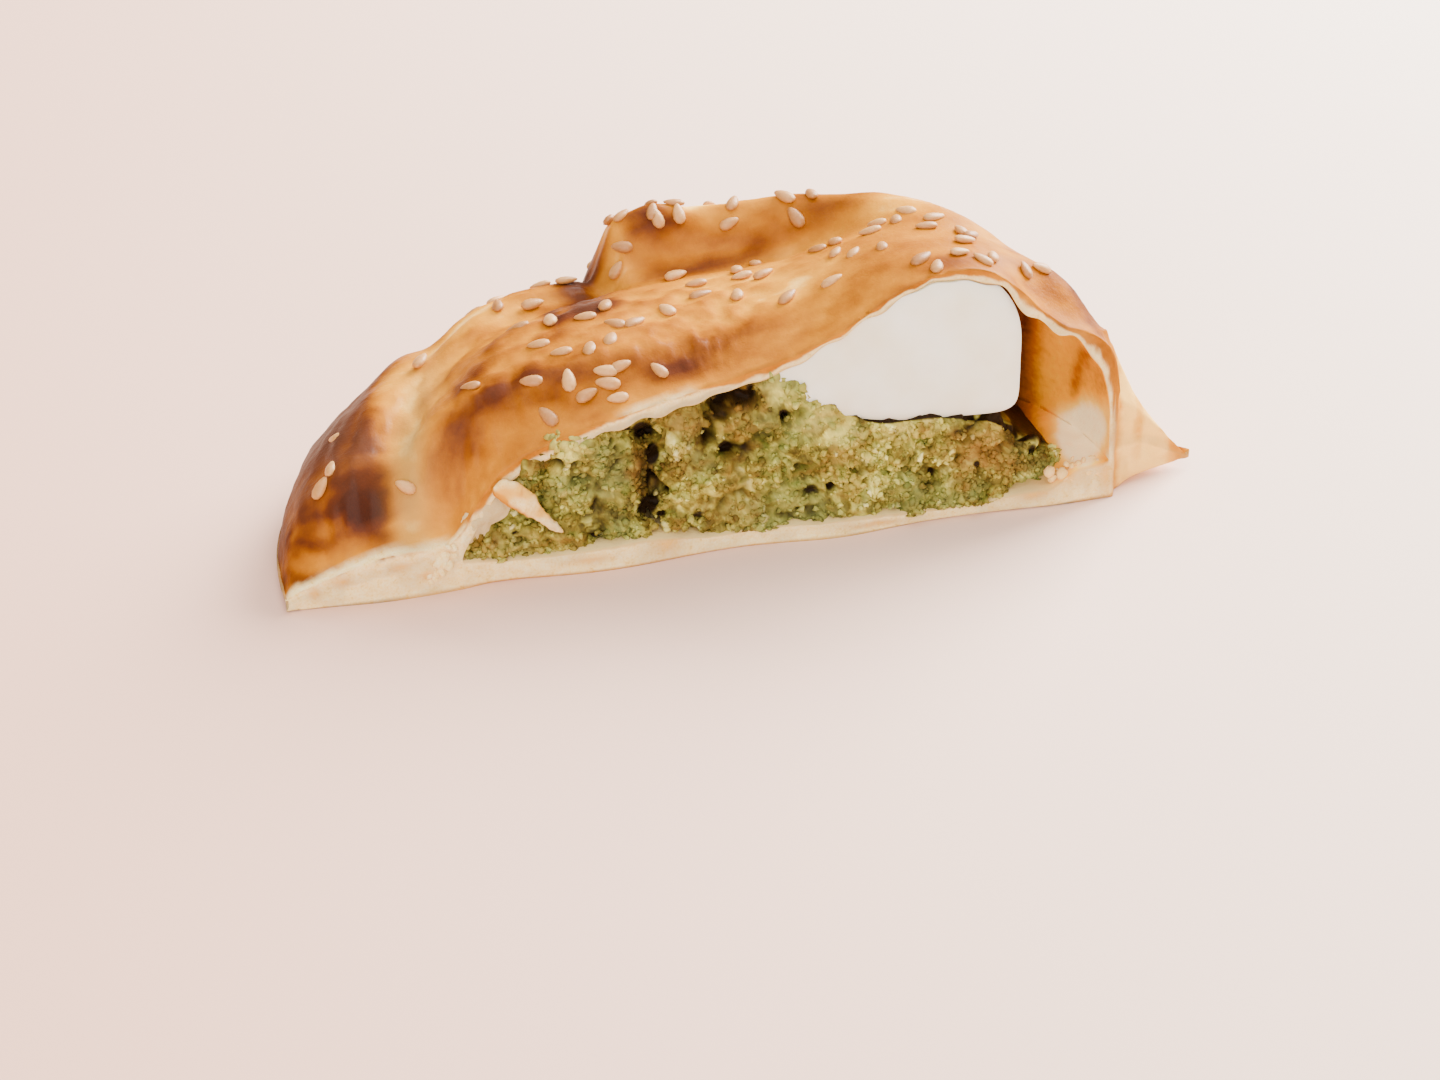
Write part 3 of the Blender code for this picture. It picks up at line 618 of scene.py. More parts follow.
SEED_LENGTH = 0.0031
SEED_WIDTH = 0.0017
SEED_THICKNESS = 0.0010
SEED_TAPER = 0.275
SEED_LIFT = 0.00022
SEED_SHIFT = 0.00025
SEEDS_BEHIND = 34
SLOPE_STEP = 0.0004
SEEN_SEEDS = MM * np.array((
    (2.2, 35.4), (5.2, 35.4), (11.2, 33.8), (19.4, 30.9), (-3.3, 34.5), (-4.1, 32.9), (-10, 35.6),
    (2.9, 30.6), (9.6, 24.4), (4.3, 23), (3.7, 18.9), (9.2, 21.2), (13.6, 28.2), (11.8, 19.8),
    (7.3, 16.5), (12.3, 10.9), (19.4, 21.3), (21.6, 21.2), (20.4, 16.7), (22.2, 14.1), (25.5, 19.6),
    (27.8, 21.4), (24.8, 11.6), (29.5, 20.5), (31.7, 21.6), (31.3, 16), (34.1, 18.4), (27.8, 4.9),
    (28.8, 2.2), (35.6, 14.1), (34.9, 10.3), (32.6, 5.8), (37.3, 12.7), (37.3, 5.5), (35, 3.4),
    (41.4, 5.5), (17.7, 9.7), (-15.4, 31.1), (-15.3, 21), (-19.4, 22.4), (-11.5, 19.3), (-8.4, 21),
    (-18.8, 14.7), (-16.4, 11.2), (-13.7, 9.7), (-9.2, 14.4), (-10.1, 10.9), (-6.5, 14.2), (-1.8, 16.5),
    (-10.4, 6.3), (-5.9, 4.6), (-28.1, 10.9), (-21.4, 7.1), (-17, 5.9), (-15.2, 4), (-12.3, 5.9),
    (-12.5, 4.4), (-11.8, 2.8), (-20.4, 3.5), (-37.6, 5), (-45.8, 9.6), (-47.5, 8.2), (-31.1, 25.4),
    (-44, 17.1), (12.4, 36.2), (18.4, 34.4), (22.1, 33.1), (-19.5, 31.9), (44, 7.1)))


def drop(rings, around, taper=0.0):
    """A ball of radius 1 from pole to pole, thinner towards one end by taper times its height."""
    t = np.linspace(0.0, math.pi, rings)[:, None]
    a = np.linspace(0.0, 2.0 * math.pi, around, endpoint=False)[None, :]
    girth = np.sin(t) * (1.0 - taper * np.cos(t))
    return np.stack([np.cos(t) + 0.0 * a, girth * np.cos(a), girth * np.sin(a)], axis=-1)


def many(grids):
    """Points and faces of many little grids of one size, each like drop's."""
    count, rings, around = grids.shape[:3]
    quads = grid_quads(rings, around)[:, ::-1] + (rings * around * np.arange(count))[:, None, None]
    return grids.reshape(-1, 3), quads.reshape(-1, 4)


def four(values):
    """One value or vector for each little grid, ready to multiply its points."""
    return values[:, None, None]


dice = np.random.default_rng(11)
behind = np.stack([dice.uniform(-0.040, 0.036, SEEDS_BEHIND),
                   dice.uniform(0.036, 0.0445, SEEDS_BEHIND)], axis=1)
behind = behind[np.hypot(behind[:, 0] / LEFT, behind[:, 1] / DEEP) < 0.97]
seed_xy = np.concatenate([SEEN_SEEDS + dice.normal(0.0, SEED_SHIFT, SEEN_SEEDS.shape), behind])
seed_x, seed_y = seed_xy.T
count = len(seed_xy)
slope_x = crust_top(seed_x + SLOPE_STEP, seed_y) - crust_top(seed_x - SLOPE_STEP, seed_y)
slope_y = crust_top(seed_x, seed_y + SLOPE_STEP) - crust_top(seed_x, seed_y - SLOPE_STEP)
up = unit(np.stack([-slope_x, -slope_y, 2.0 * SLOPE_STEP * np.ones(count)], axis=1))
turns = dice.uniform(0.0, math.pi, count)
long_way = np.stack([np.cos(turns), np.sin(turns), np.zeros(count)], axis=1)
long_way = unit(long_way - up * np.sum(long_way * up, axis=1, keepdims=True))
wide_way = np.cross(up, long_way)
size = 0.5 * dice.uniform(0.88, 1.10, count)
centre = np.stack([seed_x, seed_y, crust_top(seed_x, seed_y)], axis=1) + up * SEED_LIFT
shape = drop(7, 8, SEED_TAPER)
points = four(centre) + four(size)[..., None] * (
    SEED_LENGTH * shape[..., :1] * four(long_way) + SEED_WIDTH * shape[..., 1:2] * four(wide_way)
    + SEED_THICKNESS * shape[..., 2:] * four(up))
tint = np.repeat(dice.uniform(0.0, 1.0, count), shape[..., 0].size)
seeds = from_arrays("sesame_seeds", *many(points), {"tint": tint})
material, shader, start, place = new_material("sesame")
fine = start.speckle(place, 2500.0)
shade = (0.75 * start.look("tint") + 0.5 * (fine - 0.5)).ramp((
    (0.0, (0.36, 0.140, 0.026)), (0.5, (0.53, 0.245, 0.062)), (1.0, (0.72, 0.40, 0.14))))
finish_shader(shader, material.node_tree, Base_Color=shade, Roughness=0.42 + 0.1 * fine,
              Subsurface_Weight=0.15, Subsurface_Radius=(0.002, 0.0012, 0.0008), Subsurface_Scale=0.5,
              Normal=rough_normal(start, fine, 0.0001, 0.4))
dress(seeds, material, "pastry_crust")

# The falafel
# Two fried balls of ground chickpeas with herbs and onion, cut through with the pie: a moist,
# broken, yellow-green crumb of clumps 2 to 4 mm across, darker where the fried skin shows, with
# painted shade in its hollows, its holes, between the balls and under the crust's edge.

CLUMP = 0.0036
CHUNK = 0.0015
GRAIN = 0.0007
CLUMP_RELIEF = 0.0024
CHUNK_RELIEF = 0.00085
GRAIN_RELIEF = 0.00030
PIT_DEPTH = 0.0014
HOLE_DEPTH = 0.0024
HOLE_SINK = np.array((0.0, 0.0016, 0.0))
SKIN = 0.0022
FACE_DEPTH = 0.0008
FOOT = 0.0007
FLOOR_TOP = 0.0030
FRONT_LIMIT = -0.0016

# Spots on the cut faces, by where they show: middle x, height, reach along and up in mm, how much
# The holes are sunk into the face and painted near-black as shade
HOLES = (
    (-9.4, 18.9, 1.7, 1.3, 1), (-8.3, 15.6, 1.1, 2, 1), (-8.7, 8.3, 1.7, 1.9, 1),
    (-9, 12.4, 0.9, 2.4, 0.8), (-7, 6.7, 0.9, 0.6, 0.9), (1.2, 15, 1.2, 0.8, 1),
    (-0.9, 18.6, 0.7, 1.8, 0.8), (3.2, 24.6, 2.4, 0.9, 1), (0.2, 22, 1.2, 1.2, 0.9),
    (4.4, 22.2, 0.8, 1.5, 0.8), (8.6, 18.6, 0.8, 0.7, 1), (-2.6, 5.8, 1.5, 0.5, 0.8),
    (12.2, 7.2, 1.3, 0.8, 0.8), (10.2, 11.4, 1, 0.5, 0.6), (39.5, 12, 0.9, 2, 1),
    (34, 7.2, 0.6, 0.6, 0.9), (-25.6, 14.3, 0.6, 0.5, 1), (-25.4, 6.8, 0.7, 0.4, 0.9),
    (-17.6, 13.6, 1, 0.4, 0.5), (21.9, 12.3, 0.4, 1, 0.6), (-15.8, 5.5, 1.3, 0.5, 0.7),
    (31.6, 12.4, 1.2, 0.5, 0.7), (41.6, 8.6, 0.9, 1, 0.8), (-11.4, 19.2, 1, 0.5, 0.8),
    (5.8, 16.6, 1.6, 0.7, 0.5), (-4.6, 9.8, 0.5, 0.9, 0.5), (27.6, 6.6, 0.8, 0.4, 0.5),
    (17.2, 10, 0.9, 0.4, 0.4))
# Painted shade in spots: between the balls, under the crust's edge and the egg, and round the deepest holes
SHADE_SPOTS = (
    (1.8, 22.2, 4.2, 4, 1), (-9, 13, 1.5, 6.5, 0.80), (6.4, 18.4, 2.4, 1.2, 0.45),
    (-26.8, 5.8, 2.4, 1.6, 0.55), (39.2, 10.8, 1.3, 3, 0.80), (42.6, 7.6, 1.8, 1.5, 0.60),
    (-1.2, 18, 1.2, 3, 0.55), (-3, 5.8, 2.6, 0.9, 0.50), (12.6, 7, 2.2, 1.2, 0.50),
    (32, 12.6, 2.6, 0.9, 0.50), (-15, 5.4, 2.4, 0.8, 0.50), (3.6, 5.6, 3.4, 1.8, 0.50))
COLOUR_SPOTS = {
    "golden": (
        (35, 9, 4.6, 3.6, 0.95), (31.5, 12, 2.4, 1.4, 0.8), (24.4, 13.8, 1.3, 1.1, 0.55),
        (-3.6, 18.6, 3.2, 2.6, 0.75), (-4.4, 13.8, 2, 3, 0.45), (-28.3, 6, 1.3, 1.1, 0.8),
        (-6, 2.9, 2, 1.3, 0.8), (2.4, 21.2, 3, 4.4, 0.7), (4.6, 8.8, 1.6, 2.4, 0.35),
        (14.5, 10.2, 3, 0.9, 0.4), (32, 5.4, 2.2, 2.4, 0.6), (-19.5, 4.4, 2.6, 0.7, 0.5),
        (-9, 13, 1.8, 5, 0.9), (38.6, 7, 2.2, 2.4, 0.8), (3, 6.4, 5, 3, 0.45), (-6.4, 20.2, 2.6, 1, 0.7)),
    "green": (
        (10, 3.2, 9, 1.3, 0.6), (26, 2.6, 9, 1.3, 0.6), (-13.4, 14.4, 2.8, 3.6, 0.8),
        (-17.6, 13, 2.4, 1.4, 0.7), (-21, 12.4, 1.4, 1.4, 0.5), (6.6, 17.2, 2.6, 1.9, 0.8),
        (-30.8, 3.6, 1.8, 1.2, 0.9), (-24.6, 5, 2.2, 1.8, 0.7), (-13, 8, 2.4, 1.6, 0.4),
        (25, 4.6, 2.6, 1.6, 0.4), (43.4, 5.8, 2.4, 1.6, 0.7), (1.6, 5.4, 2, 1.2, 0.5),
        (-1, 12, 2.4, 1.8, 0.4)),
    "pale": (
        (40.7, 4.9, 1.1, 0.9, 0.9), (12.6, 17, 2.4, 1.7, 0.40), (-18.2, 18.2, 2, 2.4, 0.40),
        (16.4, 14.6, 2.6, 1.6, 0.40), (-14.6, 11, 2.2, 1.2, 0.30), (7.4, 22.4, 1.8, 2.4, 0.35),
        (-20, 11.4, 1.6, 0.8, 0.30), (11.5, 4.8, 1.8, 0.9, 0.35), (24.4, 13.8, 1, 0.8, 0.35))}


def in_spots(points, spots):
    """How far each point is inside the soft ovals of a list, seen from the left and above."""
    inside = np.zeros(points.shape[:-1])
    shown_x = (points[..., 0] - SEEN_ALONG * points[..., 1]) / MM
    shown_z = (points[..., 2] + SEEN_UP * points[..., 1]) / MM
    for x_mm, z_mm, wide, tall, much in spots:
        away = ((shown_x - x_mm) / wide) ** 2 + ((shown_z - z_mm) / tall) ** 2
        inside = np.maximum(inside, much * np.exp(-away ** 1.5))
    return inside


def cells(points, size, seed):
    """Distance to the nearest scattered centre, in sizes, and that centre's own number."""
    p = points / size
    base = np.floor(p).astype(np.int64)
    first = np.full(p.shape[:-1], 9.0)
    number = np.zeros(p.shape[:-1])
    for neighbour in range(27):
        step = np.array((neighbour // 9, neighbour // 3 % 3, neighbour % 3)) - 1
        corner = np.moveaxis(base + step, -1, 0)
        centre = np.stack([corner[axis] + 0.5 + 0.45 * lattice(*corner, seed + 1 + axis)
                           for axis in range(3)], axis=-1)
        away = np.linalg.norm(p - centre, axis=-1)
        number = np.where(away < first, lattice(*corner, seed + 4), number)
        first = np.minimum(first, away)
    return first, number


def falafel(left, right, low, high, face, deep, columns, seed, face_rows=150, back_rows=36):
    """A lump in sections across x: each is a rounded box whose front is the broken cut face.

    Its half size follows a superellipse along x; low and high give its bottom and top. Clumps
    stand out as rounded cells in three sizes, and slow noise opens pits between them.
    """
    lx = stations(left, right, columns, ((left, 0.0012, 4.0), (right, 0.0012, 4.0)))[:, None]
    middle, half = 0.5 * (left + right), 0.5 * (right - left)
    end = np.clip(1.0 - np.abs((lx - middle) / half) ** 5.0, 0.0, 1.0) ** 0.2
    zl, zh = low(lx), high(lx)
    front_t = np.linspace(0.0, 1.0, face_rows)[None, :]
    back_t = np.linspace(0.0, 1.0, back_rows + 2)[None, 1:-1]
    angle = np.concatenate([0.5 * math.pi + math.pi * front_t, 1.5 * math.pi + math.pi * back_t], axis=1)
    c, s = np.cos(angle), np.sin(angle)
    box = (np.abs(c) ** 8.0 + np.abs(s) ** 8.0) ** (-1.0 / 8.0)
    z = 0.5 * (zl + zh) + 0.5 * (zh - zl) * end * box * s
    y_mid = face(lx, z) + SKIN
    y = y_mid + np.where(c < 0.0, SKIN, deep - y_mid) * end * box * c
    points = np.stack([lx + 0.0 * z, y, z], axis=-1)
    facing = smooth(0.15, -0.25, c) * smooth(0.0, 0.5, end) * np.ones_like(z)
    wander = 0.0008 * np.stack([noise(points, 0.0018, seed + n) for n in (1, 2, 3)], axis=-1)
    big, big_tone = cells(points + wander, CLUMP, seed + 10)
    mid, mid_tone = cells(points + wander, CHUNK, seed + 20)
    small, small_tone = cells(points, GRAIN, seed + 30)
    pits = smooth(0.42, 0.80, noise(points + wander, 0.0022, seed + 6))
    lumpy = (CLUMP_RELIEF * (0.60 - big) + 0.0007 * noise(points, 0.0070, seed + 5) - PIT_DEPTH * pits
             + CHUNK_RELIEF * (0.55 - mid) + GRAIN_RELIEF * (0.6 - small))
    holes = in_spots(points + HOLE_SINK + 0.35 * wander, HOLES)
    sunk = (lumpy - HOLE_DEPTH * holes) * (0.15 + 0.85 * facing)
    points = points + out_of_grid(points) * sunk[..., None]
    tone = 0.50 * big_tone + 0.40 * mid_tone + 0.35 * small_tone
    # Painted shade: darker in the hollows between clumps, under the top edge where the crust or egg lies on
    # it, and in the holes
    hollow = np.clip(0.36 - lumpy / 0.0030, 0.0, 1.0) * facing
    shade = smooth(0.0008, 0.0002, zh - z) * (0.30 + 0.70 * smooth(0.0100, 0.0130, lx)) * facing
    holes = in_spots(points + 0.35 * wander, HOLES)
    return points, tone, np.maximum(np.maximum(hollow, shade), holes), facing


def random_turns(dice, count):
    """Rotations from the orthogonal part of random matrices, one axis turned over where it mirrors."""
    axes = np.linalg.qr(dice.normal(0.0, 1.0, (count, 3, 3)))[0]
    axes[:, :, 0] *= np.sign(np.linalg.det(axes))[:, None]
    return axes


def loose_crumbs(points, tone, hollow, facing, count, dice):
    """Small crumbs lying on the cut face: balls of 5 rings of 6 points, each pushed in and out.

    They are places of the face picked by chance, fewer in its pits, sized by a steep power.
    """
    weight = (facing * np.clip(1.0 - 1.35 * hollow, 0.0, 1.0) ** 1.5).ravel()
    pick = dice.choice(weight.size, size=count, p=weight / weight.sum())
    radius = 0.00018 + 0.00040 * dice.uniform(0.0, 1.0, count) ** 2.2
    push = 1.0 + 0.36 * dice.normal(0.0, 1.0, (count, 5, 6))
    push[:, 0] = push[:, 0, :1]
    push[:, -1] = push[:, -1, -1:]
    axes = random_turns(dice, count)
    stretch = four(dice.uniform(0.65, 1.25, (count, 3)))
    balls = drop(5, 6) * stretch * np.clip(push, 0.55, 1.5)[..., None]
    places = (points.reshape(-1, 3)[pick]
              + out_of_grid(points).reshape(-1, 3)[pick] * (0.35 * radius)[:, None])
    bits = np.einsum("nij,nabj->nabi", axes, balls) * four(radius)[..., None] + four(places)
    bit_tone = tone.ravel()[pick] + dice.normal(0.12, 0.28, count)
    # The crumbs keep a little of the painted shade of the face where they lie
    bit_shade = 0.55 * hollow.ravel()[pick]
    size = bits[0, ..., 0].size
    return *many(bits), np.repeat(bit_tone, size), np.repeat(bit_shade, size)


def left_low(x):
    """The lump's rounded foot starts a little under the floor."""
    return floor(x) - FOOT


def left_high(x):
    """The left ball fills the pocket and bulges out past the crust's edge at its top."""
    return roof(x, 0.0 * x + 0.002) - 0.0001 + 0.0012 * bump(x, -0.0175, 0.0040)


def left_face(x, z):
    """The left cut face lies deeper behind the torn dough and bulges out over the edge."""
    behind_flap = smooth(-0.0185, -0.0215, x) * smooth(0.0160, 0.0130, z) * smooth(0.0058, 0.0080, z)
    bulge = 0.0016 * bump(x, -0.018, 0.006) * bump(z, 0.018, 0.004)
    gap = 0.0030 * bump(x, -0.0074, 0.0016) * smooth(0.0050, 0.0080, z)
    return FACE_DEPTH + 0.0030 * behind_flap - bulge + gap


def right_low(x):
    """The right lump stays level where the floor rises at its end."""
    return np.minimum(floor(x), FLOOR_TOP) - FOOT


def right_high(x):
    """Under the egg the lump is level and then falls away to its low right end."""
    under_egg = 0.0149 + 0.0101 * smooth(0.0230, 0.0030, x) - 0.0016 * smooth(0.0270, 0.0370, x)
    ceiling = roof(x, 0.0 * x + 0.002) - 0.0001 + 0.0010 * bump(x, 0.0030, 0.0035, 4.0)
    return np.minimum(ceiling, under_egg) - 0.0075 * smooth(0.0350, 0.0466, x)


def right_face(x, z):
    """The right cut face lies further back at its low right end."""
    hollow = 0.0022 * bump(x, 0.0020, 0.0040) * bump(z, 0.0190, 0.0050)
    brow = 0.0010 * bump(x, 0.0030, 0.0036, 4.0) * bump(z, 0.0250, 0.0022)
    gap = 0.0032 * bump(x, -0.0080, 0.0018) * smooth(0.0050, 0.0080, z)
    return FACE_DEPTH + 0.0024 * smooth(0.036, 0.046, x) + hollow - brow + gap


def crumb_material(name):
    """Falafel crumb: yellow-green by its clumps, with herbs and spice, and painted shade in its hollows and
    between its clumps.
    """
    material, shader, start, place = new_material(name)
    fine = start.speckle(place, 1300.0, 3.0, 0.6)
    cool = start.speckle(place, 130.0)
    tone = 0.425 + 0.43 * start.look("tone") + 0.5 * (fine - 0.5)
    colour = tone.ramp((
        (0.05, (0.080, 0.055, 0.008)), (0.26, (0.190, 0.148, 0.020)), (0.43, (0.320, 0.265, 0.042)),
        (0.60, (0.480, 0.425, 0.075)), (0.80, (0.700, 0.640, 0.150)), (1.00, (0.900, 0.840, 0.320))))
    # Tints over the crumb: random hues of herbs, spice and browning; a blotchy near-black speckle as painted
    # shade between clumps; the spots; fried skin with painted shade; and painted shade in the hollows
    for amount, tint in (
            (0.50 * cool.between(0.50, 0.62), (0.260, 0.300, 0.070)),
            (0.35 * cool.between(0.47, 0.38), (0.360, 0.240, 0.040)),
            (0.62 * start.speckle(place, 340.0, 3.0, 0.6).between(0.47, 0.37), (0.060, 0.043, 0.006)),
            (0.45 * start.speckle(place, 420.0).between(0.57, 0.66), (0.090, 0.130, 0.012)),
            (0.35 * start.speckle(place, 300.0, 1.0).between(0.58, 0.70), (0.260, 0.130, 0.016)),
            (0.60 * start.look("green"), (0.150, 0.155, 0.045)),
            (0.75 * start.look("golden"), (0.260, 0.120, 0.022)),
            (start.look("pale"), (0.840, 0.800, 0.200)),
            (start.look("fried"), (0.030, 0.012, 0.002)),
            (start.look("hollow").between(0.34, 0.80), (0.014, 0.006, 0.0008))):
        colour = amount.mix(colour, tint)
    finish_shader(shader, material.node_tree, Base_Color=colour, Roughness=0.50 + 0.25 * fine,
                  Specular_IOR_Level=0.10, Normal=rough_normal(start, fine, 0.0003, 0.6))
    return material


dice = np.random.default_rng(23)
for name, count, lump_args in (
        ("falafel_left", 1500, (-0.0318, -0.0070, left_low, left_high, left_face, 0.0320, 170, 100)),
        ("falafel_right", 2450, (-0.0086, 0.0464, right_low, right_high, right_face, 0.0330, 280, 200))):
    lump, tone, hollow, facing = falafel(*lump_args)
    bits, bit_quads, bit_tone, bit_shade = loose_crumbs(lump, tone, hollow, facing, count, dice)
    quads = np.concatenate([grid_quads(*tone.shape), bit_quads + tone.size])
    points = np.concatenate([lump.reshape(-1, 3), bits])
    points[:, 1] = no_less(points[:, 1], FRONT_LIMIT, 0.0006)
    points[:, 2] = no_less(points[:, 2], np.minimum(floor(points[:, 0]), FLOOR_TOP) - 0.0003, 0.0004)
    # tone is each clump's own colour; hollow is painted shade, from the face and its crumbs
    looks = {"tone": np.concatenate([tone.ravel(), bit_tone]),
             "hollow": np.concatenate([hollow.ravel(), bit_shade])}
    wander = np.stack([0.0008 * noise(points, 0.0016, n) for n in (71, 73, 72)], axis=-1)
    for look, spots in COLOUR_SPOTS.items():
        looks[look] = in_spots(points + wander, spots)
    # Dark fried skin where the ball's outside shows further in, and painted shade in blotches over the shade
    # spots
    blotchy = smooth(-0.75, 0.15, noise(points, 0.0011, 74))
    looks["fried"] = np.maximum(smooth(0.0045, 0.0075, points[:, 1] + 2.0 * wander[:, 0]),
                                blotchy * in_spots(points + wander, SHADE_SPOTS))
    piece = from_arrays(name + "_crumb", points, quads, looks)
    dress(piece, crumb_material(name + "_crumb"), name, name)

# The egg
# A wedge of hard-boiled egg white, cut smooth with the pie and slightly moist: level below,
# pointed at the left and blunt at the right, as deep as half an egg.

EGG_X = 0.0245
EGG_Z = 0.0233
EGG_LEFT = 0.0172
EGG_RIGHT = 0.0152
EGG_DOWN = 0.0086
EGG_UP = 0.0125
EGG_FACE = 0.0010
EGG_BACK = 0.0215


def egg_surface(around, rings):
    """A ball carried from pole to pole: half its rings cross the flat cut face, half the back."""
    run = np.linspace(0.0, 1.0, rings)[:, None]
    angle = np.linspace(0.0, -2.0 * math.pi, around, endpoint=False)[None, :]
    c, s = np.cos(angle), np.sin(angle)
    on_face = run <= 0.5
    spread = np.where(on_face, run / 0.5, (1.0 - run) / 0.5)
    rounded = np.sin(0.5 * math.pi * spread)
    back = np.where(on_face, 0.0, np.cos(0.5 * math.pi * spread) ** 0.9)
    spread_out = np.where(on_face, rounded ** 0.8, rounded ** 0.75)
    right, low = c > 0.0, s < 0.0
    power = np.where(right, np.where(low, 9.0, 2.2), 2.0)
    edge = ((np.abs(c) / np.where(right, EGG_RIGHT, EGG_LEFT)) ** power
            + (np.abs(s) / np.where(low, EGG_DOWN, EGG_UP)) ** power) ** (-1.0 / power)
    x = EGG_X + spread_out * edge * c
    z = EGG_Z + 0.10 * np.maximum(EGG_X - x, 0.0) + spread_out * edge * s
    z = z - 0.070 * np.maximum(x - EGG_X, 0.0) * smooth(0.0, -0.3, s) * spread_out
    bulge = 1.0 - spread_out ** 6
    y = EGG_FACE - 0.0012 * bulge * on_face - 0.00025 * bump(x, 0.0262, 0.0010) * bulge * on_face
    y = y + (EGG_BACK - y) * back
    return np.stack([x, y, np.minimum(z, roof(x, y) - 0.0002)], axis=-1)


egg = closed_grid("egg_white", egg_surface(160, 121), {})
material, shader, start, place = new_material("egg_white")
fine = start.speckle(place, 2600.0)
colour = start.speckle(place, 160.0).ramp(((0.3, (0.86, 0.79, 0.60)), (0.7, (0.93, 0.90, 0.78))))
finish_shader(shader, material.node_tree, Base_Color=colour, Roughness=0.26 + 0.1 * fine,
              Subsurface_Weight=0.35, Subsurface_Radius=(0.004, 0.003, 0.002), Subsurface_Scale=0.6,
              Normal=rough_normal(start, fine, 0.00008, 0.3))
dress(egg, material, "egg_piece", "egg_piece")

# The torn tongue of dough
# Where the crust steps up at the left, a thin strip tore as the pie was cut: it hangs from the
# edge in front of the filling, browned along one side and ragged at its end.

TONGUE_TOP = np.array((-0.0280, -0.0002, 0.0138))
TONGUE_END = np.array((-0.0192, -0.0004, 0.0066))


def plain_looks(count, baked, crumb, grey=0.0):
    """Looks of loose dough: only how brown and how crumbly it is, and its greyish tone with painted shade."""
    looks = {look: np.zeros(count) for look in ("rosy", "inner", "amber", "pale", "glaze")}
    for look, value in (("baked", baked), ("crumb", crumb), ("grey", grey)):
        looks[look] = value + np.zeros(count)
    return looks


def tongue(rows, around):
    """A flat, square-edged section carried down a bowed line, narrowing to a torn end."""
    t = np.linspace(0.0, 1.0, rows)[:, None]
    a = np.linspace(0.0, -2.0 * math.pi, around, endpoint=False)[None, :]
    c, s = np.cos(a), np.sin(a)
    box = (np.abs(c) ** 4.0 + np.abs(s) ** 4.0) ** -0.25
    down = unit(TONGUE_END - TONGUE_TOP)
    side = np.array((-down[2], 0.0, down[0]))
    closing = np.sqrt(np.clip((1.0 - t) * 8.0, 0.0, 1.0)) * np.sqrt(np.clip(t * 12.0, 0.0, 1.0))
    width = (0.00080 + 0.00085 * np.exp(-((t - 0.30) / 0.32) ** 2)) * (1.0 - 0.35 * t) * closing
    thick = 0.00034 * (1.0 - 0.20 * t) * closing
    line = TONGUE_TOP + (TONGUE_END - TONGUE_TOP) * t[..., None] + side * (0.0005 * np.sin(5.0 * t))[..., None]
    line = line - np.array((0.0, 0.0006, 0.0)) * np.sin(math.pi * t)[..., None]
    points = (line + side * (width * c * box)[..., None]
              + np.array((0.0, 1.0, 0.0)) * (thick * s * box + 0.0004 * c ** 2 * closing)[..., None])
    rough = 0.00028 * noise(points, 0.0010, 61) + 0.00014 * noise(points, 0.0005, 62)
    return points + out_of_grid(points) * (rough * closing)[..., None], c + 0.0 * t, t + 0.0 * c


points, beside, run = tongue(90, 32)
skin_side = smooth(-0.45, -0.95, beside + 0.5 * (run - 0.5))
browned = 0.09 + 0.20 * skin_side + 0.34 * bump(run, 0.88, 0.08)
torn = np.clip(0.85 - skin_side - 0.8 * smooth(-0.1, 0.5, noise(points, 0.0016, 67)), 0.0, 1.0)
strip = closed_grid("torn_dough", points, plain_looks(torn.size, browned.ravel(), torn.ravel()))
dress(strip, bpy.data.materials["baked_dough"], "pastry_crust")

# The torn wall
# A thin, folded skin of dough that stayed behind the tongue and closes the low left corner of
# the pocket, greyish and still damp, with painted shade on it where it lies back in the pocket.

WALL_MIDDLE = np.array((-0.0302, 0.0086))
WALL_RIM = MM * np.array((
    (-25.6, 10.2), (-26.8, 11.8), (-28.4, 12.5), (-30.2, 10.2), (-31.8, 7.9), (-33.8, 6.0),
    (-34.4, 4.9), (-33.2, 4.0), (-31.6, 4.2), (-30.4, 6.2), (-28.3, 7.9), (-26.2, 9.1)))


def torn_wall(rings, around):
    """A thin lens over an uneven outline: out from its middle in front, and back behind.

    Its rim runs through the outline's corners, by angle; sine waves fold its front.
    """
    corners = WALL_RIM - WALL_MIDDLE
    corner_angle = np.mod(np.arctan2(corners[:, 1], corners[:, 0]), 2.0 * math.pi)
    order = np.argsort(corner_angle)
    a = np.linspace(0.0, -2.0 * math.pi, around, endpoint=False)
    reach = np.interp(a, corner_angle[order], np.linalg.norm(corners, axis=1)[order], period=2.0 * math.pi)
    reach = reach * (1.0 + 0.02 * np.sin(9.0 * a) + 0.02 * np.sin(17.0 * a + 1.0))
    t = np.linspace(0.0, 1.0, rings)[:, None]
    spread = np.sin(math.pi * t) ** 0.7
    thin = np.cos(0.5 * math.pi * spread)
    wx = WALL_MIDDLE[0] + spread * reach * np.cos(a)
    wz = WALL_MIDDLE[1] + spread * reach * np.sin(a)
    folds = 0.00010 * np.sin((wx * 0.8 + wz * 0.6) / 0.00060) + 0.00022 * np.sin((wz - wx) / 0.0013)
    y = np.where(t < 0.5, 0.0009 - 0.0006 * thin + folds * thin, 0.0016 - 0.0001 * spread)
    points = np.stack([wx, y, wz], axis=-1)
    points[..., 1] -= (t < 0.5) * 0.00015 * noise(points, 0.0009, 63)
    return points


points = torn_wall(61, 96)
# Its greyish tone is mostly painted shade
wall = closed_grid("torn_wall", points, plain_looks(points[..., 0].size, 0.12, 0.95, 0.75))
dress(wall, bpy.data.materials["baked_dough"], "pastry_crust")

# Bits of torn dough
# Rough little balls of crumb that the knife left along the pocket's low left corner and, more
# golden, at its right foot.

LEFT_BITS = 46
RIGHT_BITS = 34


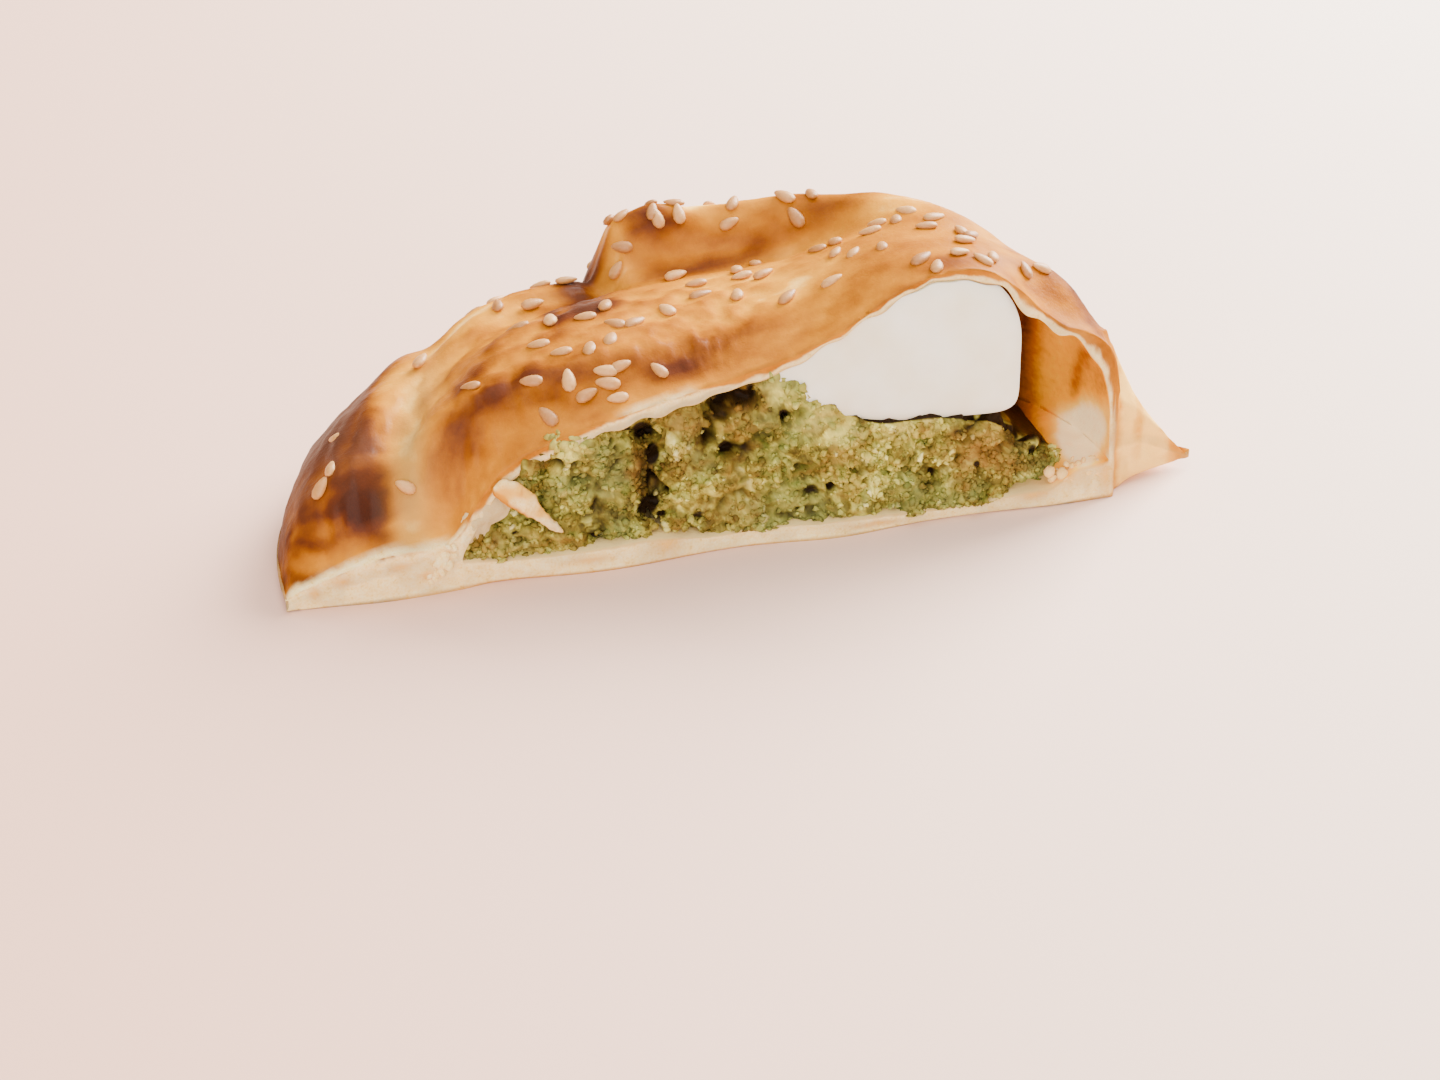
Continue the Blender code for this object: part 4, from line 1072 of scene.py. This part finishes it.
def dough_bits(dice):
    """Balls of chance sizes, turned and stretched by chance, with noise added to their points."""
    run = dice.uniform(0.0, 1.0, LEFT_BITS)
    left = np.stack([-0.0358 + 0.0022 * run, dice.uniform(-0.0003, 0.0006, LEFT_BITS),
                     0.0022 + 0.0036 * run], axis=1) + dice.normal(0.0, 0.00042, (LEFT_BITS, 3))
    right = np.stack([dice.uniform(low, high, RIGHT_BITS) for low, high in (
        (0.0440, 0.0512), (0.0002, 0.0016), (0.0030, 0.0058))], axis=1)
    middles = np.concatenate([left, right])
    radius = dice.uniform(0.00028, 0.00070, len(middles))
    axes = random_turns(dice, len(middles))
    balls = drop(7, 8) * four(dice.uniform(0.6, 1.4, (len(middles), 3)))
    bits = four(middles) + np.einsum("nij,nabj->nabi", axes, balls) * four(radius)[..., None]
    return bits + 0.00012 * np.stack([noise(bits, 0.0005, n) for n in (64, 65, 66)], axis=-1)


points, quads = many(dough_bits(np.random.default_rng(31)))
at_right = smooth(0.0, 0.01, points[:, 0])
bits = from_arrays("dough_bits", points, quads, plain_looks(
    len(points), 0.10 + 0.05 * at_right, 1.0 - 0.4 * at_right))
dress(bits, bpy.data.materials["baked_dough"], "pastry_crust")

# The studio
# A pale floor that warms and darkens towards the left as painted shade away from the light, one
# large soft light from the right and behind, two fills and a pale sky, and the camera at the
# photograph's angle.

FLOOR_HALF = 3.0
AZIMUTH = math.radians(-15.8747)
ELEVATION = math.radians(30.0)
DISTANCE = 0.447604
LENS = 90.0
SENSOR = 36.0
AIM = Vector((0.000512, 0.0, 0.001777)) + Vector(PLACE)

floor_mesh = bpy.data.meshes.new("studio_floor")
floor_mesh.from_pydata([(-FLOOR_HALF, -FLOOR_HALF, 0), (FLOOR_HALF, -FLOOR_HALF, 0),
                        (FLOOR_HALF, FLOOR_HALF, 0), (-FLOOR_HALF, FLOOR_HALF, 0)], [], [(0, 1, 2, 3)])
ground = add_object("studio_floor", floor_mesh)
material, shader, start, place = new_material("pale_paper")
# Painted shade: the paper darkens and turns pinker towards the left, away from the light
across = start.node("SeparateXYZ", {}, {"Vector": place}) + 0.04 * start.speckle(place, 6.0)
paper_and_painted_shade = across.between(-0.18, 0.32).mix((0.78, 0.425, 0.295), (1.00, 0.89, 0.79))
finish_shader(shader, material.node_tree, Base_Color=paper_and_painted_shade, Roughness=0.8)
floor_mesh.materials.append(material)

for name, power, size, place, aim, colour in (
        ("window", 46.0, 0.60, (0.62, 0.42, 0.46), (0.0, 0.0, 0.015), (1.0, 0.96, 0.92)),
        ("overhead", 16.0, 1.20, (-0.10, 0.10, 1.10), (0.0, 0.0, 0.0), (1.0, 0.96, 0.92)),
        ("front_fill", 11.5, 0.80, (-0.25, -0.75, 0.40), (0.0, 0.0, 0.015), (1.0, 0.97, 0.95))):
    light = bpy.data.lights.new(name, "AREA")
    light.energy = power
    light.size = size
    light.color = colour
    lamp = add_object(name, light)
    lamp.location = place
    lamp.rotation_euler = (Vector(aim) - Vector(place)).to_track_quat("-Z", "Y").to_euler()
world = bpy.data.worlds.new("studio")
world.use_nodes = True
sky = world.node_tree.nodes["Background"].inputs
sky["Color"].default_value = (1.0, 0.94, 0.89, 1.0)
sky["Strength"].default_value = 0.37
bpy.context.scene.world = world

camera_data = bpy.data.cameras.new("photo_camera")
camera_data.lens = LENS
camera_data.sensor_width = SENSOR
camera = add_object("photo_camera", camera_data)
back = Vector((math.sin(AZIMUTH) * math.cos(ELEVATION), -math.cos(AZIMUTH) * math.cos(ELEVATION),
               math.sin(ELEVATION)))
camera.location = AIM + DISTANCE * back
camera.rotation_euler = back.to_track_quat("Z", "Y").to_euler()
bpy.context.scene.camera = camera
